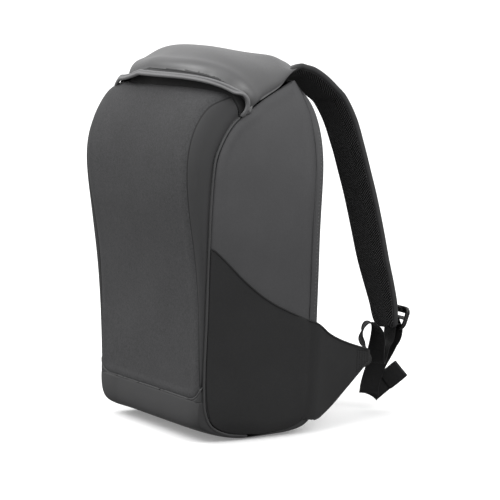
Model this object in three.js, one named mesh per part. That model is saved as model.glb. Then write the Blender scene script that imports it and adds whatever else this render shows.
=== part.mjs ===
// A soft backpack that stands on its base. A band of panels (front panel, hood, back panel and base)
// runs round two leaf-shaped side panels. The hood drapes over the top and flows into the two padded
// shoulder straps. Stretch pockets wrap the lower sides and end in wings that hold the lower webbing.
// Millimetres, +Z up, front towards -Y, the wearer's back towards +Y. The origin is the middle of the
// flat underside.
import * as THREE from 'three';

// Overall sizes of the body
const BODY_HEIGHT = 416; // floor to the tip of the side panels
const BODY_WIDTH = 282; // across both side panels at their widest
const BODY_DEPTH = 150; // front seam to rear seam
const FRONT_BULGE = 38; // how far the front panel stands ahead of its seams near the shoulders
const BACK_BULGE = 20; // how far the back panel stands behind its seams
const BASE_EDGE = 5; // height of the base's turned-up edge under each side panel
const SIDE_BULGE = 5; // how far a side panel swells between its seams

// Hood
const HOOD_RISE = 63; // crown of the hood above its side edges
const HOOD_REACH = 60; // how far the hood's front edge stands ahead of its ends
const HOOD_CORNER = 8; // how far the hood's right front corner stands out past its end
const HOOD_SAG = 9; // how far the left half of the hood's front edge hangs down
const STRAP_HUMP = 17; // how far the hood swells where each strap grows out of it

// Cloth and foam
const PANEL_WALL = 3;
const BASE_WALL = 2;
const HOOD_WALL = 3;
const POCKET_WALL = 1.6;
const PIPING_RADIUS = 1.6;
const LIP_HEIGHT = 7;
const LIP_THICKNESS = 4.4;
const SEAM_GAP = 0.3;

// Straps and webbing
const STRAP_WIDTH = 62;
const STRAP_THICKNESS = 9;
const STRAP_OFFSET = 64; // middle of a strap from the middle of the bag
const STRAP_RISE = 20; // top of a strap where it leaves the hood, above the tip of the side panels
const STRAP_DROP = 436; // from the top of a strap to the level its heights are measured from
const STRAP_SWING = 218; // how far the right strap stands behind the middle of the bag
const WEBBING_WIDTH = 24;
const WEBBING_THICKNESS = 1.8;
const WEBBING_SLACK = 30; // how far the lower webbing strays from the straight way
const WING_REACH = 100; // from the rear seam to the tip of a wing
const WING_HEIGHT = 136; // floor to the wing's top edge at the rear seam

// Ladder lock
const LOCK_WIDTH = 38;
const LOCK_HEIGHT = 30;
const LOCK_THICKNESS = 5;
const LOCK_BAR = 4.5;
const LOCK_CORNER = 8;
const LOCK_STAND = 10; // between the strap's lower end and the middle of the lock
const LOCK_TILT = 20; // degrees that the lock's lower bar is drawn in by the webbing
const TAB_REACH = 62; // length of the tab sewn to the strap's outer face
const TAB_GAP = 0.6; // between that tab and the strap

const POCKET_GAP = 0.5; // between a pocket and the side panel under it

const HALF_WIDTH = BODY_WIDTH / 2;
const HALF_DEPTH = BODY_DEPTH / 2;

// Outline of a side panel. Height is a share of the body height, the halves are shares of half the
// width, and the edges are shares of half the depth, ahead of the middle where they are negative.
const SIDE_OUTLINE = [
  { height: 0.012, frontHalf: 0.825, frontEdge: -0.15, rearHalf: 0.825, rearEdge: 0.15 },
  { height: 0.015, frontHalf: 0.828, frontEdge: -0.3, rearHalf: 0.828, rearEdge: 0.36 },
  { height: 0.02, frontHalf: 0.833, frontEdge: -0.47, rearHalf: 0.833, rearEdge: 0.56 },
  { height: 0.031, frontHalf: 0.843, frontEdge: -0.65, rearHalf: 0.843, rearEdge: 0.74 },
  { height: 0.046, frontHalf: 0.855, frontEdge: -0.79, rearHalf: 0.853, rearEdge: 0.82 },
  { height: 0.063, frontHalf: 0.865, frontEdge: -0.875, rearHalf: 0.863, rearEdge: 0.85 },
  { height: 0.09, frontHalf: 0.876, frontEdge: -0.94, rearHalf: 0.875, rearEdge: 0.868 },
  { height: 0.123, frontHalf: 0.886, frontEdge: -0.97, rearHalf: 0.886, rearEdge: 0.872 },
  { height: 0.221, frontHalf: 0.908, frontEdge: -0.985, rearHalf: 0.904, rearEdge: 0.872 },
  { height: 0.349, frontHalf: 0.943, frontEdge: -0.982, rearHalf: 0.931, rearEdge: 0.871 },
  { height: 0.478, frontHalf: 0.972, frontEdge: -0.985, rearHalf: 0.96, rearEdge: 0.87 },
  { height: 0.572, frontHalf: 0.992, frontEdge: -0.982, rearHalf: 0.972, rearEdge: 0.88 },
  { height: 0.657, frontHalf: 1.0, frontEdge: -0.965, rearHalf: 0.972, rearEdge: 0.91 },
  { height: 0.743, frontHalf: 1.0, frontEdge: -0.924, rearHalf: 0.957, rearEdge: 0.96 },
  { height: 0.804, frontHalf: 0.993, frontEdge: -0.86, rearHalf: 0.926, rearEdge: 0.99 },
  { height: 0.858, frontHalf: 0.979, frontEdge: -0.7, rearHalf: 0.879, rearEdge: 1.0 },
  { height: 0.892, frontHalf: 0.963, frontEdge: -0.54, rearHalf: 0.844, rearEdge: 0.997 },
  { height: 0.911, frontHalf: 0.948, frontEdge: -0.4, rearHalf: 0.819, rearEdge: 0.987 },
  { height: 0.927, frontHalf: 0.922, frontEdge: -0.22, rearHalf: 0.798, rearEdge: 0.973 },
  { height: 0.95, frontHalf: 0.879, frontEdge: 0.005, rearHalf: 0.766, rearEdge: 0.947 },
  { height: 0.968, frontHalf: 0.83, frontEdge: 0.24, rearHalf: 0.741, rearEdge: 0.924 },
  { height: 0.985, frontHalf: 0.773, frontEdge: 0.507, rearHalf: 0.713, rearEdge: 0.887 },
  { height: 1.0, frontHalf: 0.703, frontEdge: 0.75, rearHalf: 0.69, rearEdge: 0.855 },
];

// Front panel, bottom to top. Height places its side edge. Forward and rise, shares of the front bulge,
// lead from there to the middle of the panel, and square is how boxy it is seen from above.
const FRONT_ROWS = [
  { height: 0.123, forward: 0.21, rise: 0, square: 7 },
  { height: 0.221, forward: 0.18, rise: 0, square: 6 },
  { height: 0.349, forward: 0.19, rise: 0, square: 5 },
  { height: 0.478, forward: 0.27, rise: 0, square: 5 },
  { height: 0.572, forward: 0.44, rise: 0, square: 5 },
  { height: 0.657, forward: 0.66, rise: 0.02, square: 5 },
  { height: 0.743, forward: 0.83, rise: 0.06, square: 5 },
  { height: 0.804, forward: 0.95, rise: 0.16, square: 4.8 },
  { height: 0.858, forward: 1.14, rise: 0.37, square: 4.6 },
  { height: 0.892, forward: 1.24, rise: 0.6, square: 4 },
  { height: 0.905, forward: 1.29, rise: 0.75, square: 3.6 },
  { height: 0.907, forward: 1.16, rise: 0.88, square: 3 },
  { height: 0.908, forward: 0.98, rise: 0.98, square: 2.5 },
  { height: 0.909, forward: 0.4, rise: 1.14, square: 2 },
];

// Back panel, bottom to top, as on the front panel with shares of the back bulge. At the top it turns
// forward and closes the body under the hood.
const BACK_ROWS = [
  { height: 0.123, backward: 0.9, rise: 0 },
  { height: 0.221, backward: 0.88, rise: 0 },
  { height: 0.349, backward: 0.86, rise: 0 },
  { height: 0.478, backward: 0.86, rise: 0 },
  { height: 0.572, backward: 0.88, rise: 0 },
  { height: 0.657, backward: 0.9, rise: 0 },
  { height: 0.743, backward: 0.88, rise: 0 },
  { height: 0.804, backward: 0.85, rise: 0.03 },
  { height: 0.858, backward: 0.78, rise: 0.1 },
  { height: 0.911, backward: 0.6, rise: 0.25 },
  { height: 0.95, backward: 0.3, rise: 0.35 },
  { height: 0.985, backward: -0.3, rise: 0.3 },
  { height: 0.997, backward: -1.0, rise: 0.25 },
];

// The base along its edge, from the front strip under the floor to the rear strip. Height is a share of
// the body height. Place is a share of the way from the front seam to the rear seam. Outward, a share
// of the back bulge, and drop, a share of the base's edge, lead from there to the middle.
const BASE_ROWS = [
  { height: 0.123, place: 0, outward: -0.4, drop: 0 },
  { height: 0.09, place: 0, outward: -0.62, drop: 0.4 },
  { height: 0.063, place: 0, outward: -0.85, drop: 0.8 },
  { height: 0.046, place: 0, outward: -0.95, drop: 0.45 },
  { height: 0.031, place: 0, outward: -0.75, drop: 0.4 },
  { height: 0.02, place: 0, outward: -0.35, drop: 0.9 },
  { height: 0.015, place: 0, outward: 0, drop: 1.25 },
  { height: 0.012, place: 0, outward: 0, drop: 1 },
  { height: 0.012, place: 1, outward: 0, drop: 1 },
  { height: 0.015, place: 1, outward: 0, drop: 1.25 },
  { height: 0.02, place: 1, outward: 0.1, drop: 1.665 },
  { height: 0.031, place: 1, outward: 0.35, drop: 2.1 },
  { height: 0.046, place: 1, outward: 0.6, drop: 2.1 },
  { height: 0.063, place: 1, outward: 0.75, drop: 1.4 },
  { height: 0.09, place: 1, outward: 0.87, drop: 0.4 },
  { height: 0.123, place: 1, outward: 0.9, drop: 0 },
];

// The hood from its front edge to the straps. Height places its side edge on the side panel's outline.
// Inward (a share of half the width), behind (a share of half the depth) and lift (a share of the
// hood's rise) take the edge off the body. Forward (a share of the hood's reach) and rise (a share of
// its rise) lead to the crown. Plan and arch are how boxy a row is from above and from the front,
// corner, sag and hump are shares of the hood's corner, of its sag and of the strap hump.
const HOOD_ROWS = [
  { height: 0.918, forward: -1.035, rise: 0.71, plan: 1.9, arch: 5.2, corner: 1, sag: 1 },
  { height: 0.92, forward: -0.95, rise: 0.82, plan: 1.9, arch: 3.9, corner: 0.5, sag: 0.9 },
  { height: 0.923, forward: -0.77, rise: 0.91, plan: 1.9, arch: 3.1, corner: 0.15, sag: 0.7 },
  { height: 0.927, forward: -0.56, rise: 0.985, plan: 1.95, arch: 2.8, corner: 0, sag: 0.4 },
  { height: 0.938, forward: -0.43, rise: 1.01, plan: 2, arch: 2.65, corner: 0, sag: 0.1 },
  { height: 0.95, forward: -0.32, rise: 0.965, plan: 2.2, arch: 2.6 },
  { height: 0.968, forward: -0.2, rise: 0.8, plan: 2.5, arch: 2.6, hump: 0.05 },
  { height: 0.985, forward: -0.1, rise: 0.56, plan: 2.5, arch: 2.6, hump: 0.3 },
  { height: 0.996, inward: 0.012, behind: 0.02, lift: 0.1, forward: -0.03, rise: 0.24, plan: 3, arch: 2.8, hump: 0.7 },
  { height: 1, inward: 0.025, behind: 0.09, lift: 0.17, forward: -0.05, rise: -0.03, plan: 3, arch: 3, hump: 0.95 },
  { height: 1, inward: 0.03, behind: 0.185, lift: 0.235, forward: -0.07, rise: -0.17, plan: 3, arch: 3, hump: 1 },
];

// Top edge of a stretch pocket from the front seam to the rear seam: across is the share of the way,
// height is a share of the wing height.
const POCKET_TOP = [
  { across: 0, height: 1.7 },
  { across: 0.06, height: 1.66 },
  { across: 0.16, height: 1.56 },
  { across: 0.3, height: 1.42 },
  { across: 0.46, height: 1.285 },
  { across: 0.62, height: 1.18 },
  { across: 0.8, height: 1.09 },
  { across: 0.93, height: 1.03 },
  { across: 1, height: 1.005 },
];

// A wing from the rear seam to its tip: back is a share of the wing's reach, the halves are shares of
// half the width, low and high are shares of the wing height.
const WING = [
  { back: 0.1, lowHalf: 0.88, highHalf: 0.947, low: 0.115, high: 0.975 },
  { back: 0.3, lowHalf: 0.815, highHalf: 0.88, low: 0.16, high: 0.868 },
  { back: 0.53, lowHalf: 0.775, highHalf: 0.81, low: 0.285, high: 0.784 },
  { back: 0.76, lowHalf: 0.75, highHalf: 0.765, low: 0.43, high: 0.72 },
  { back: 0.92, lowHalf: 0.735, highHalf: 0.742, low: 0.53, high: 0.68 },
  { back: 1, lowHalf: 0.727, highHalf: 0.731, low: 0.567, high: 0.66 },
];

// Outer face of a shoulder strap from the hood to its lower end. Back is a share of the strap's swing,
// height is a share of the strap's drop and width is a share of the strap's width.
const RIGHT_STRAP = [
  { back: 0.335, height: 1.002, width: 0.98 },
  { back: 0.385, height: 0.998, width: 1 },
  { back: 0.44, height: 0.989, width: 1 },
  { back: 0.51, height: 0.967, width: 1 },
  { back: 0.578, height: 0.937, width: 1 },
  { back: 0.637, height: 0.906, width: 1 },
  { back: 0.703, height: 0.845, width: 1 },
  { back: 0.754, height: 0.768, width: 1 },
  { back: 0.795, height: 0.698, width: 1 },
  { back: 0.835, height: 0.628, width: 1 },
  { back: 0.878, height: 0.539, width: 1 },
  { back: 0.918, height: 0.45, width: 0.98 },
  { back: 0.955, height: 0.382, width: 0.93 },
  { back: 0.985, height: 0.323, width: 0.84 },
  { back: 1, height: 0.275, width: 0.72 },
];
const LEFT_STRAP = [
  { back: 0.335, height: 1.002, width: 0.98 },
  { back: 0.385, height: 0.997, width: 1 },
  { back: 0.435, height: 0.985, width: 1 },
  { back: 0.487, height: 0.951, width: 1 },
  { back: 0.526, height: 0.907, width: 1 },
  { back: 0.556, height: 0.853, width: 1 },
  { back: 0.58, height: 0.774, width: 1 },
  { back: 0.602, height: 0.686, width: 1 },
  { back: 0.624, height: 0.588, width: 1 },
  { back: 0.645, height: 0.49, width: 0.98 },
  { back: 0.662, height: 0.401, width: 0.93 },
  { back: 0.675, height: 0.323, width: 0.84 },
  { back: 0.68, height: 0.275, width: 0.72 },
];

// The lower webbing between the tip of a wing and the ladder lock. Along is the share of the way,
// aside and up are shares of the slack, and the last three give the direction of the webbing's width.
const RIGHT_LOAD = [
  { along: 0.04, aside: -0.3, up: 0.39, x: 0.08, y: -0.62, z: 0.72 },
  { along: 0.1, aside: -0.38, up: 0.68, x: 0.7, y: -0.5, z: 0.35 },
  { along: 0.19, aside: -0.36, up: 0.92, x: 0.9, y: -0.45, z: 0.1 },
  { along: 0.31, aside: -0.25, up: 0.93, x: 0.9, y: -0.45, z: 0 },
  { along: 0.42, aside: -0.11, up: 0.65, x: 0.97, y: -0.1, z: 0 },
  { along: 0.47, aside: -0.1, up: 0.17, x: 0.92, y: 0.25, z: 0 },
  { along: 0.5, aside: -0.2, up: -0.34, x: 0.9, y: 0.35, z: 0 },
  { along: 0.53, aside: -0.29, up: -0.78, x: 0.8, y: 0.6, z: 0 },
  { along: 0.61, aside: -0.34, up: -1.05, x: 0.8, y: 0.6, z: 0 },
  { along: 0.72, aside: -0.34, up: -0.93, x: 0.9, y: 0.4, z: 0 },
  { along: 0.83, aside: -0.26, up: -0.6, x: 1, y: 0.1, z: 0 },
  { along: 0.91, aside: -0.14, up: -0.4, x: 1, y: 0, z: 0 },
];
const LEFT_LOAD = [
  { along: 0.2, aside: 0.1, up: -0.3, x: 0.7, y: 0.5, z: 0.4 },
  { along: 0.45, aside: 0.1, up: -0.75, x: 0.9, y: 0.2, z: 0 },
  { along: 0.7, aside: 0, up: -0.8, x: 1, y: 0.1, z: 0 },
  { along: 0.88, aside: 0, up: -0.5, x: 1, y: 0, z: 0 },
];

// The webbing's tail from the ladder lock to its free end. Back and aside are shares of the slack,
// height is a share of the lock's height above the floor, and the last three give the direction of the
// webbing's width.
const RIGHT_TAIL = [
  { back: 0.09, aside: -0.14, height: 0.91, x: 1, y: 0.05, z: 0 },
  { back: -0.1, aside: -0.5, height: 0.8, x: 0.92, y: 0.35, z: 0 },
  { back: -0.16, aside: -0.73, height: 0.69, x: 0.75, y: 0.66, z: 0 },
  { back: -0.26, aside: -0.9, height: 0.56, x: 0.55, y: 0.83, z: 0 },
  { back: -0.39, aside: -0.99, height: 0.44, x: 0.48, y: 0.88, z: 0 },
  { back: -0.45, aside: -1.06, height: 0.32, x: 0.48, y: 0.88, z: 0 },
  { back: -0.42, aside: -1.1, height: 0.21, x: 0.48, y: 0.88, z: -0.1 },
  { back: -0.27, aside: -1.14, height: 0.145, x: 0.42, y: 0.76, z: -0.5 },
  { back: 0.06, aside: -1.1, height: 0.145, x: 0.14, y: 0.3, z: -0.94 },
  { back: 0.45, aside: -0.98, height: 0.2, x: -0.1, y: -0.1, z: -0.99 },
  { back: 0.82, aside: -0.75, height: 0.285, x: -0.15, y: -0.25, z: -0.95 },
];
// The last stretch of the right webbing is folded back over the one below it
const RIGHT_FOLD = [
  { back: 1, aside: -0.6, height: 0.335, x: -0.2, y: -0.35, z: -0.92 },
  { back: 0.98, aside: -0.47, height: 0.345, x: -0.22, y: -0.38, z: -0.9 },
  { back: 0.85, aside: -0.42, height: 0.345, x: -0.23, y: -0.42, z: -0.88 },
  { back: 0.52, aside: -0.59, height: 0.348, x: -0.25, y: -0.45, z: -0.86 },
  { back: 0.16, aside: -0.79, height: 0.352, x: -0.25, y: -0.45, z: -0.86 },
];
const LEFT_TAIL = [
  { back: 0.2, aside: 0, height: 0.84, x: 1, y: 0.05, z: 0 },
  { back: 0.25, aside: 0, height: 0.6, x: 1, y: 0.1, z: 0 },
  { back: 0.2, aside: 0, height: 0.35, x: 1, y: 0.15, z: 0 },
  { back: 0.25, aside: 0, height: 0.14, x: 1, y: 0.1, z: 0 },
  { back: 0.55, aside: 0, height: 0.03, x: 1, y: 0, z: 0 },
  { back: 1.1, aside: 0, height: 0.02, x: 1, y: -0.1, z: 0 },
  { back: 1.7, aside: 0, height: 0.02, x: 1, y: -0.1, z: 0 },
];
const LEFT_FOLD = [
  { back: 1.79, aside: 0, height: 0.04, x: 1, y: -0.1, z: 0 },
  { back: 1.7, aside: 0, height: 0.06, x: 1, y: -0.1, z: 0 },
  { back: 1.3, aside: 0, height: 0.055, x: 1, y: -0.1, z: 0 },
  { back: 0.95, aside: 0, height: 0.05, x: 1, y: -0.1, z: 0 },
];

// Colours and finish of each material
const HEATHER = { color: 0x48484a, roughness: 0.9, metalness: 0 };
const SATIN = { color: 0x5a5a5c, roughness: 0.6, metalness: 0 };
const SIDE_CLOTH = { color: 0x505052, roughness: 0.8, metalness: 0 };
const BASE_CLOTH = { color: 0x464648, roughness: 0.75, metalness: 0 };
const STRETCH = { color: 0x262628, roughness: 0.95, metalness: 0 };
const MESH_CLOTH = { color: 0x1c1c1c, roughness: 0.95, metalness: 0 };
const WEBBING = { color: 0x19191b, roughness: 0.7, metalness: 0 };
const LOCK_PLASTIC = { color: 0x101011, roughness: 0.3, metalness: 0 };
const PIPING = { color: 0x6a6a6c, roughness: 0.6, metalness: 0 };

const backpack = new THREE.Group();

function evenly(count) {
  return Array.from({ length: count + 1 }, (_, i) => i / count);
}

function addPiece(name, geometry, finish) {
  const mesh = new THREE.Mesh(geometry, new THREE.MeshStandardMaterial(finish));
  mesh.name = name;
  backpack.add(mesh);
}

// Value of one column of a table at a place along its key column, straight from row to row
function columnAt(table, key, column, place) {
  let i = 0;
  while (i < table.length - 2 && place > table[i + 1][key]) i += 1;
  const share = THREE.MathUtils.clamp((place - table[i][key]) / (table[i + 1][key] - table[i][key]), 0, 1);
  return THREE.MathUtils.lerp(table[i][column], table[i + 1][column], share);
}

// Closed solid from its vertices and triangles, turned so that its faces point out
function closedSolid(points, triangles) {
  let volume = 0;
  for (const [a, b, c] of triangles) {
    volume += points[a].dot(new THREE.Vector3().crossVectors(points[b], points[c]));
  }
  const geometry = new THREE.BufferGeometry();
  geometry.setAttribute('position', new THREE.Float32BufferAttribute(points.flatMap((p) => p.toArray()), 3));
  geometry.setIndex(triangles.flatMap(([a, b, c]) => (volume > 0 ? [a, b, c] : [a, c, b])));
  geometry.computeVertexNormals();
  return geometry;
}

// The closed wall between an outer and an inner grid of points of the same size. `keep` says which
// cells of the grid the wall has.
function wallBetween(outer, inner, keep = () => true) {
  const wide = outer[0].length;
  const count = outer.length * wide;
  const triangles = [];
  const rim = new Map();
  const quad = (a, b, c, d) => triangles.push([a, b, c], [a, c, d]);
  for (let i = 0; i < outer.length - 1; i += 1) {
    for (let j = 0; j < wide - 1; j += 1) {
      if (keep(i, j)) {
        const a = i * wide + j;
        const corners = [a, a + 1, a + wide + 1, a + wide];
        quad(...corners);
        quad(...corners.map((k) => k + count).reverse());
        corners.forEach((from, k) => {
          const to = corners[(k + 1) % 4];
          if (!rim.delete(`${to}-${from}`)) rim.set(`${from}-${to}`, [from, to]);
        });
      }
    }
  }
  for (const [from, to] of rim.values()) quad(to, from, from + count, to + count);
  return closedSolid([...outer.flat(), ...inner.flat()], triangles);
}

// A closed solid through a list of rings of points, with flat ends
function solidThrough(rings) {
  const around = rings[0].length;
  const triangles = [];
  for (let i = 0; i < rings.length - 1; i += 1) {
    for (let j = 0; j < around; j += 1) {
      const a = i * around + j;
      const b = i * around + ((j + 1) % around);
      triangles.push([a, b, b + around], [a, b + around, a + around]);
    }
  }
  const last = (rings.length - 1) * around;
  for (let j = 1; j < around - 1; j += 1) {
    triangles.push([0, j + 1, j], [last, last + j, last + j + 1]);
  }
  return closedSolid(rings.flat(), triangles);
}

// The same solid on the other side of the bag
function mirrored(geometry) {
  const copy = geometry.clone();
  const place = copy.getAttribute('position');
  for (let i = 0; i < place.count; i += 1) place.setX(i, -place.getX(i));
  const index = copy.getIndex();
  for (let i = 0; i < index.count; i += 3) {
    const first = index.getX(i + 1);
    index.setX(i + 1, index.getX(i + 2));
    index.setX(i + 2, first);
  }
  copy.computeVertexNormals();
  return copy;
}

// Point of the seam along one edge of a side panel: the front edge or the rear edge
function seamPoint(edge, share) {
  const half = columnAt(SIDE_OUTLINE, 'height', `${edge}Half`, share);
  const place = columnAt(SIDE_OUTLINE, 'height', `${edge}Edge`, share);
  return new THREE.Vector3(half * HALF_WIDTH, place * HALF_DEPTH, share * BODY_HEIGHT);
}

// Direction out of a side panel across its seam, in the plane of the panel
function seamOut(edge, share) {
  const heights = SIDE_OUTLINE.map((row) => row.height);
  let below = seamPoint(edge, heights.findLast((height) => height < share - 1e-6) ?? share);
  let above = seamPoint(edge, heights.find((height) => height > share + 1e-6) ?? share);
  const here = seamPoint(edge, share);
  const unit = (from, to) => new THREE.Vector3(0, to.y - from.y, to.z - from.z).normalize();
  const along = unit(below, here).add(unit(here, above)).normalize();
  return new THREE.Vector3(0, -along.z, along.y).multiplyScalar(edge === 'front' ? 1 : -1);
}

// Half a piping bead with its clearance: what a piece leaves free beside the front seam
const SEAM_ROOM = PIPING_RADIUS + SEAM_GAP;

// Edge of a band piece beside a side panel
function bandEdge(edge, share, room) {
  return seamPoint(edge, share).addScaledVector(seamOut(edge, share), room);
}

// How boxy the band's rows are where a table gives no value of its own
const PLAN_SQUARE = 5;
const RISE_SQUARE = 3;
const HUMP_SPREAD = 0.42; // width of a strap's hump, as a share of the strap's width

// One row of the band, from the left edge over the middle to the right edge. `middle` is the point in
// the plane of symmetry, and `flat` above 1 makes the middle of the row level. `corner` pushes the bends
// at the right end of the row outwards, and `sag` lets its left half hang.
function bandRow(row, steps) {
  const { edge, middle, plan = PLAN_SQUARE, arch = RISE_SQUARE, flat = 1, corner = 0, sag = 0, hump = 0 } = row;
  const square = Math.max(plan, arch);
  return Array.from({ length: steps + 1 }, (_, j) => {
    const angle = Math.PI * (j / steps - 0.5);
    const reach = (Math.abs(Math.cos(angle)) ** square + Math.abs(Math.sin(angle)) ** square) ** (-1 / square);
    const side = THREE.MathUtils.clamp(Math.sin(angle) * reach, -1, 1);
    const share = (power) => Math.min(1, Math.max(0, 1 - Math.abs(side) ** power) ** (1 / power) * flat);
    const lift = share(arch);
    const x = side * edge.x + (side > 0 ? corner * 4 * lift * (1 - lift) : 0);
    const hang = side < 0 ? sag * Math.sin(-Math.PI * side) : 0;
    const swell = hump * Math.exp(-(((Math.abs(x) - STRAP_OFFSET) / (STRAP_WIDTH * HUMP_SPREAD)) ** 2)) * share(4);
    return new THREE.Vector3(
      x,
      THREE.MathUtils.lerp(edge.y, middle.y, share(plan)),
      THREE.MathUtils.lerp(edge.z, middle.z, lift) + swell - hang,
    );
  });
}

// Wall of a band piece. The inner rows stand a wall's thickness inside the outer rows. `turn` is 1 where
// the rows run up the front or back over the top, and -1 where they run the other way.
function bandWall(rows, thickness, steps, turn) {
  const inner = rows.map((row, i) => {
    const before = rows[Math.max(i - 1, 0)].middle;
    const after = rows[Math.min(i + 1, rows.length - 1)].middle;
    const inward = new THREE.Vector3(0, after.z - before.z, before.y - after.y).normalize();
    return {
      ...row,
      edge: row.edge.clone().setX(row.edge.x - thickness),
      middle: row.middle.clone().addScaledVector(inward, turn * thickness),
    };
  });
  return wallBetween(rows.map((row) => bandRow(row, steps)), inner.map((row) => bandRow(row, steps)));
}

const FRONT_STEPS = 20;
const BACK_STEPS = 16;
const HOOD_STEPS = 24;
const LIP_STEPS = 32;
const BASE_PLAN = 7;
const BASE_ARCH = 4;
const LEVEL = 1.02; // how far the base's rows are raised before they are cut level at the floor

function frontPanel() {
  const rows = FRONT_ROWS.map(({ height, forward, rise, square }, i) => {
    const edge = bandEdge('front', height, SEAM_ROOM);
    const seam = seamPoint('front', height);
    const middle = new THREE.Vector3(0, seam.y - forward * FRONT_BULGE, seam.z + rise * FRONT_BULGE);
    if (i === 0) {
      edge.z += SEAM_GAP;
      middle.z += SEAM_GAP;
    }
    return { edge, middle, plan: square };
  });
  return bandWall(rows, PANEL_WALL, FRONT_STEPS, 1);
}

function backPanel() {
  const rows = BACK_ROWS.map(({ height, backward, rise }, i) => {
    const edge = bandEdge('rear', height, SEAM_GAP);
    const seam = seamPoint('rear', height);
    const middle = new THREE.Vector3(0, seam.y + backward * BACK_BULGE, seam.z + rise * BACK_BULGE);
    if (i === 0) {
      edge.z += SEAM_GAP;
      middle.z += SEAM_GAP;
    }
    return { edge, middle };
  });
  return bandWall(rows, PANEL_WALL, BACK_STEPS, -1);
}

// The base is a tub: a strip up the front, the flat underside and a strip up the back
function base() {
  const rows = BASE_ROWS.map(({ height, place, outward, drop }) => {
    const front = bandEdge('front', height, SEAM_ROOM);
    const rear = bandEdge('rear', height, SEAM_GAP);
    const edge = front.clone().lerp(rear, place);
    const seam = seamPoint('front', height).lerp(seamPoint('rear', height), place);
    const middle = new THREE.Vector3(0, seam.y + outward * BACK_BULGE, Math.max(0, seam.z - drop * BASE_EDGE));
    return { edge, middle, plan: BASE_PLAN, arch: BASE_ARCH, flat: LEVEL };
  });
  return bandWall(rows, BASE_WALL, BACK_STEPS, -1);
}

const PANEL_STEPS = 8;
const FULL_DEPTH = 0.8; // a side panel swells fully where it is deeper than this share of the body

// Points of a side panel's outer face at one height, at shares of the way from the front seam to the
// rear seam. `proud` lifts them off the panel.
function sideRow(height, shares, frontRoom, rearRoom, proud) {
  const front = bandEdge('front', height, -frontRoom);
  const rear = bandEdge('rear', height, -rearRoom);
  const fullness = Math.min(1, (rear.y - front.y) / (BODY_DEPTH * FULL_DEPTH));
  return shares.map((across) => {
    const point = front.clone().lerp(rear, across);
    point.x += SIDE_BULGE * fullness * Math.sin(Math.PI * across) + proud;
    return point;
  });
}

function sidePanel() {
  const outer = SIDE_OUTLINE.map(({ height }) => sideRow(height, evenly(PANEL_STEPS), SEAM_ROOM, SEAM_GAP, 0));
  const lowest = outer[0][PANEL_STEPS].z;
  outer[0].forEach((point) => {
    point.z = Math.max(point.z, lowest);
  });
  const inner = outer.map((row) => row.map((point) => point.clone().setX(point.x - PANEL_WALL)));
  return wallBetween(outer, inner);
}

// Ring of points round a centre: half width along one direction and half height along the other
function ring(centre, wide, deep, halfWidth, halfDepth, sides, square) {
  return Array.from({ length: sides }, (_, j) => {
    const angle = (2 * Math.PI * (j + 0.5)) / sides;
    const reach = (Math.abs(Math.cos(angle)) ** square + Math.abs(Math.sin(angle)) ** square) ** (-1 / square);
    return centre.clone()
      .addScaledVector(wide, Math.cos(angle) * reach * halfWidth)
      .addScaledVector(deep, Math.sin(angle) * reach * halfDepth);
  });
}

// The bead along the front seam, from the hood's end down and round the lower corner
function seamPiping() {
  const shares = SIDE_OUTLINE.map((row) => row.height).filter((height) => height <= HOOD_ROWS[0].height);
  const rings = shares.map((share) => {
    const out = seamOut('front', share);
    return ring(seamPoint('front', share), new THREE.Vector3(1, 0, 0), out, PIPING_RADIUS, PIPING_RADIUS, 6, 2);
  });
  return solidThrough(rings);
}

// Middle line and side edge of each row of the hood
const hoodRows = HOOD_ROWS.map((row) => {
  const edge = bandEdge('front', row.height, SEAM_GAP);
  edge.x -= (row.inward ?? 0) * HALF_WIDTH;
  edge.y += (row.behind ?? 0) * HALF_DEPTH;
  edge.z += (row.lift ?? 0) * HOOD_RISE;
  const middle = new THREE.Vector3(0, edge.y + row.forward * HOOD_REACH, edge.z + row.rise * HOOD_RISE);
  const corner = (row.corner ?? 0) * HOOD_CORNER;
  const hump = (row.hump ?? 0) * STRAP_HUMP;
  const sag = (row.sag ?? 0) * HOOD_SAG;
  return { edge, middle, plan: row.plan, arch: row.arch, corner, sag, hump };
});

// The piped lip hangs from the hood's front edge all along it, and flares a little at the corners
const LIP_FLARE = 0.35;
function hoodLip() {
  const edge = bandRow(hoodRows[0], LIP_STEPS);
  const behind = bandRow(hoodRows[1], LIP_STEPS);
  const rings = edge.map((point, j) => {
    const before = edge[Math.max(j - 1, 0)];
    const after = edge[Math.min(j + 1, edge.length - 1)];
    const along = after.clone().sub(before).normalize();
    const down = point.clone().sub(behind[j]);
    down.x *= LIP_FLARE;
    down.addScaledVector(along, -down.dot(along)).normalize();
    const out = along.clone().cross(down).normalize();
    const centre = point.clone().addScaledVector(down, SEAM_GAP + LIP_HEIGHT / 2).addScaledVector(out, -HOOD_WALL / 2);
    return ring(centre, down, out, LIP_HEIGHT / 2, LIP_THICKNESS / 2, 8, 3);
  });
  return solidThrough(rings);
}

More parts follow.
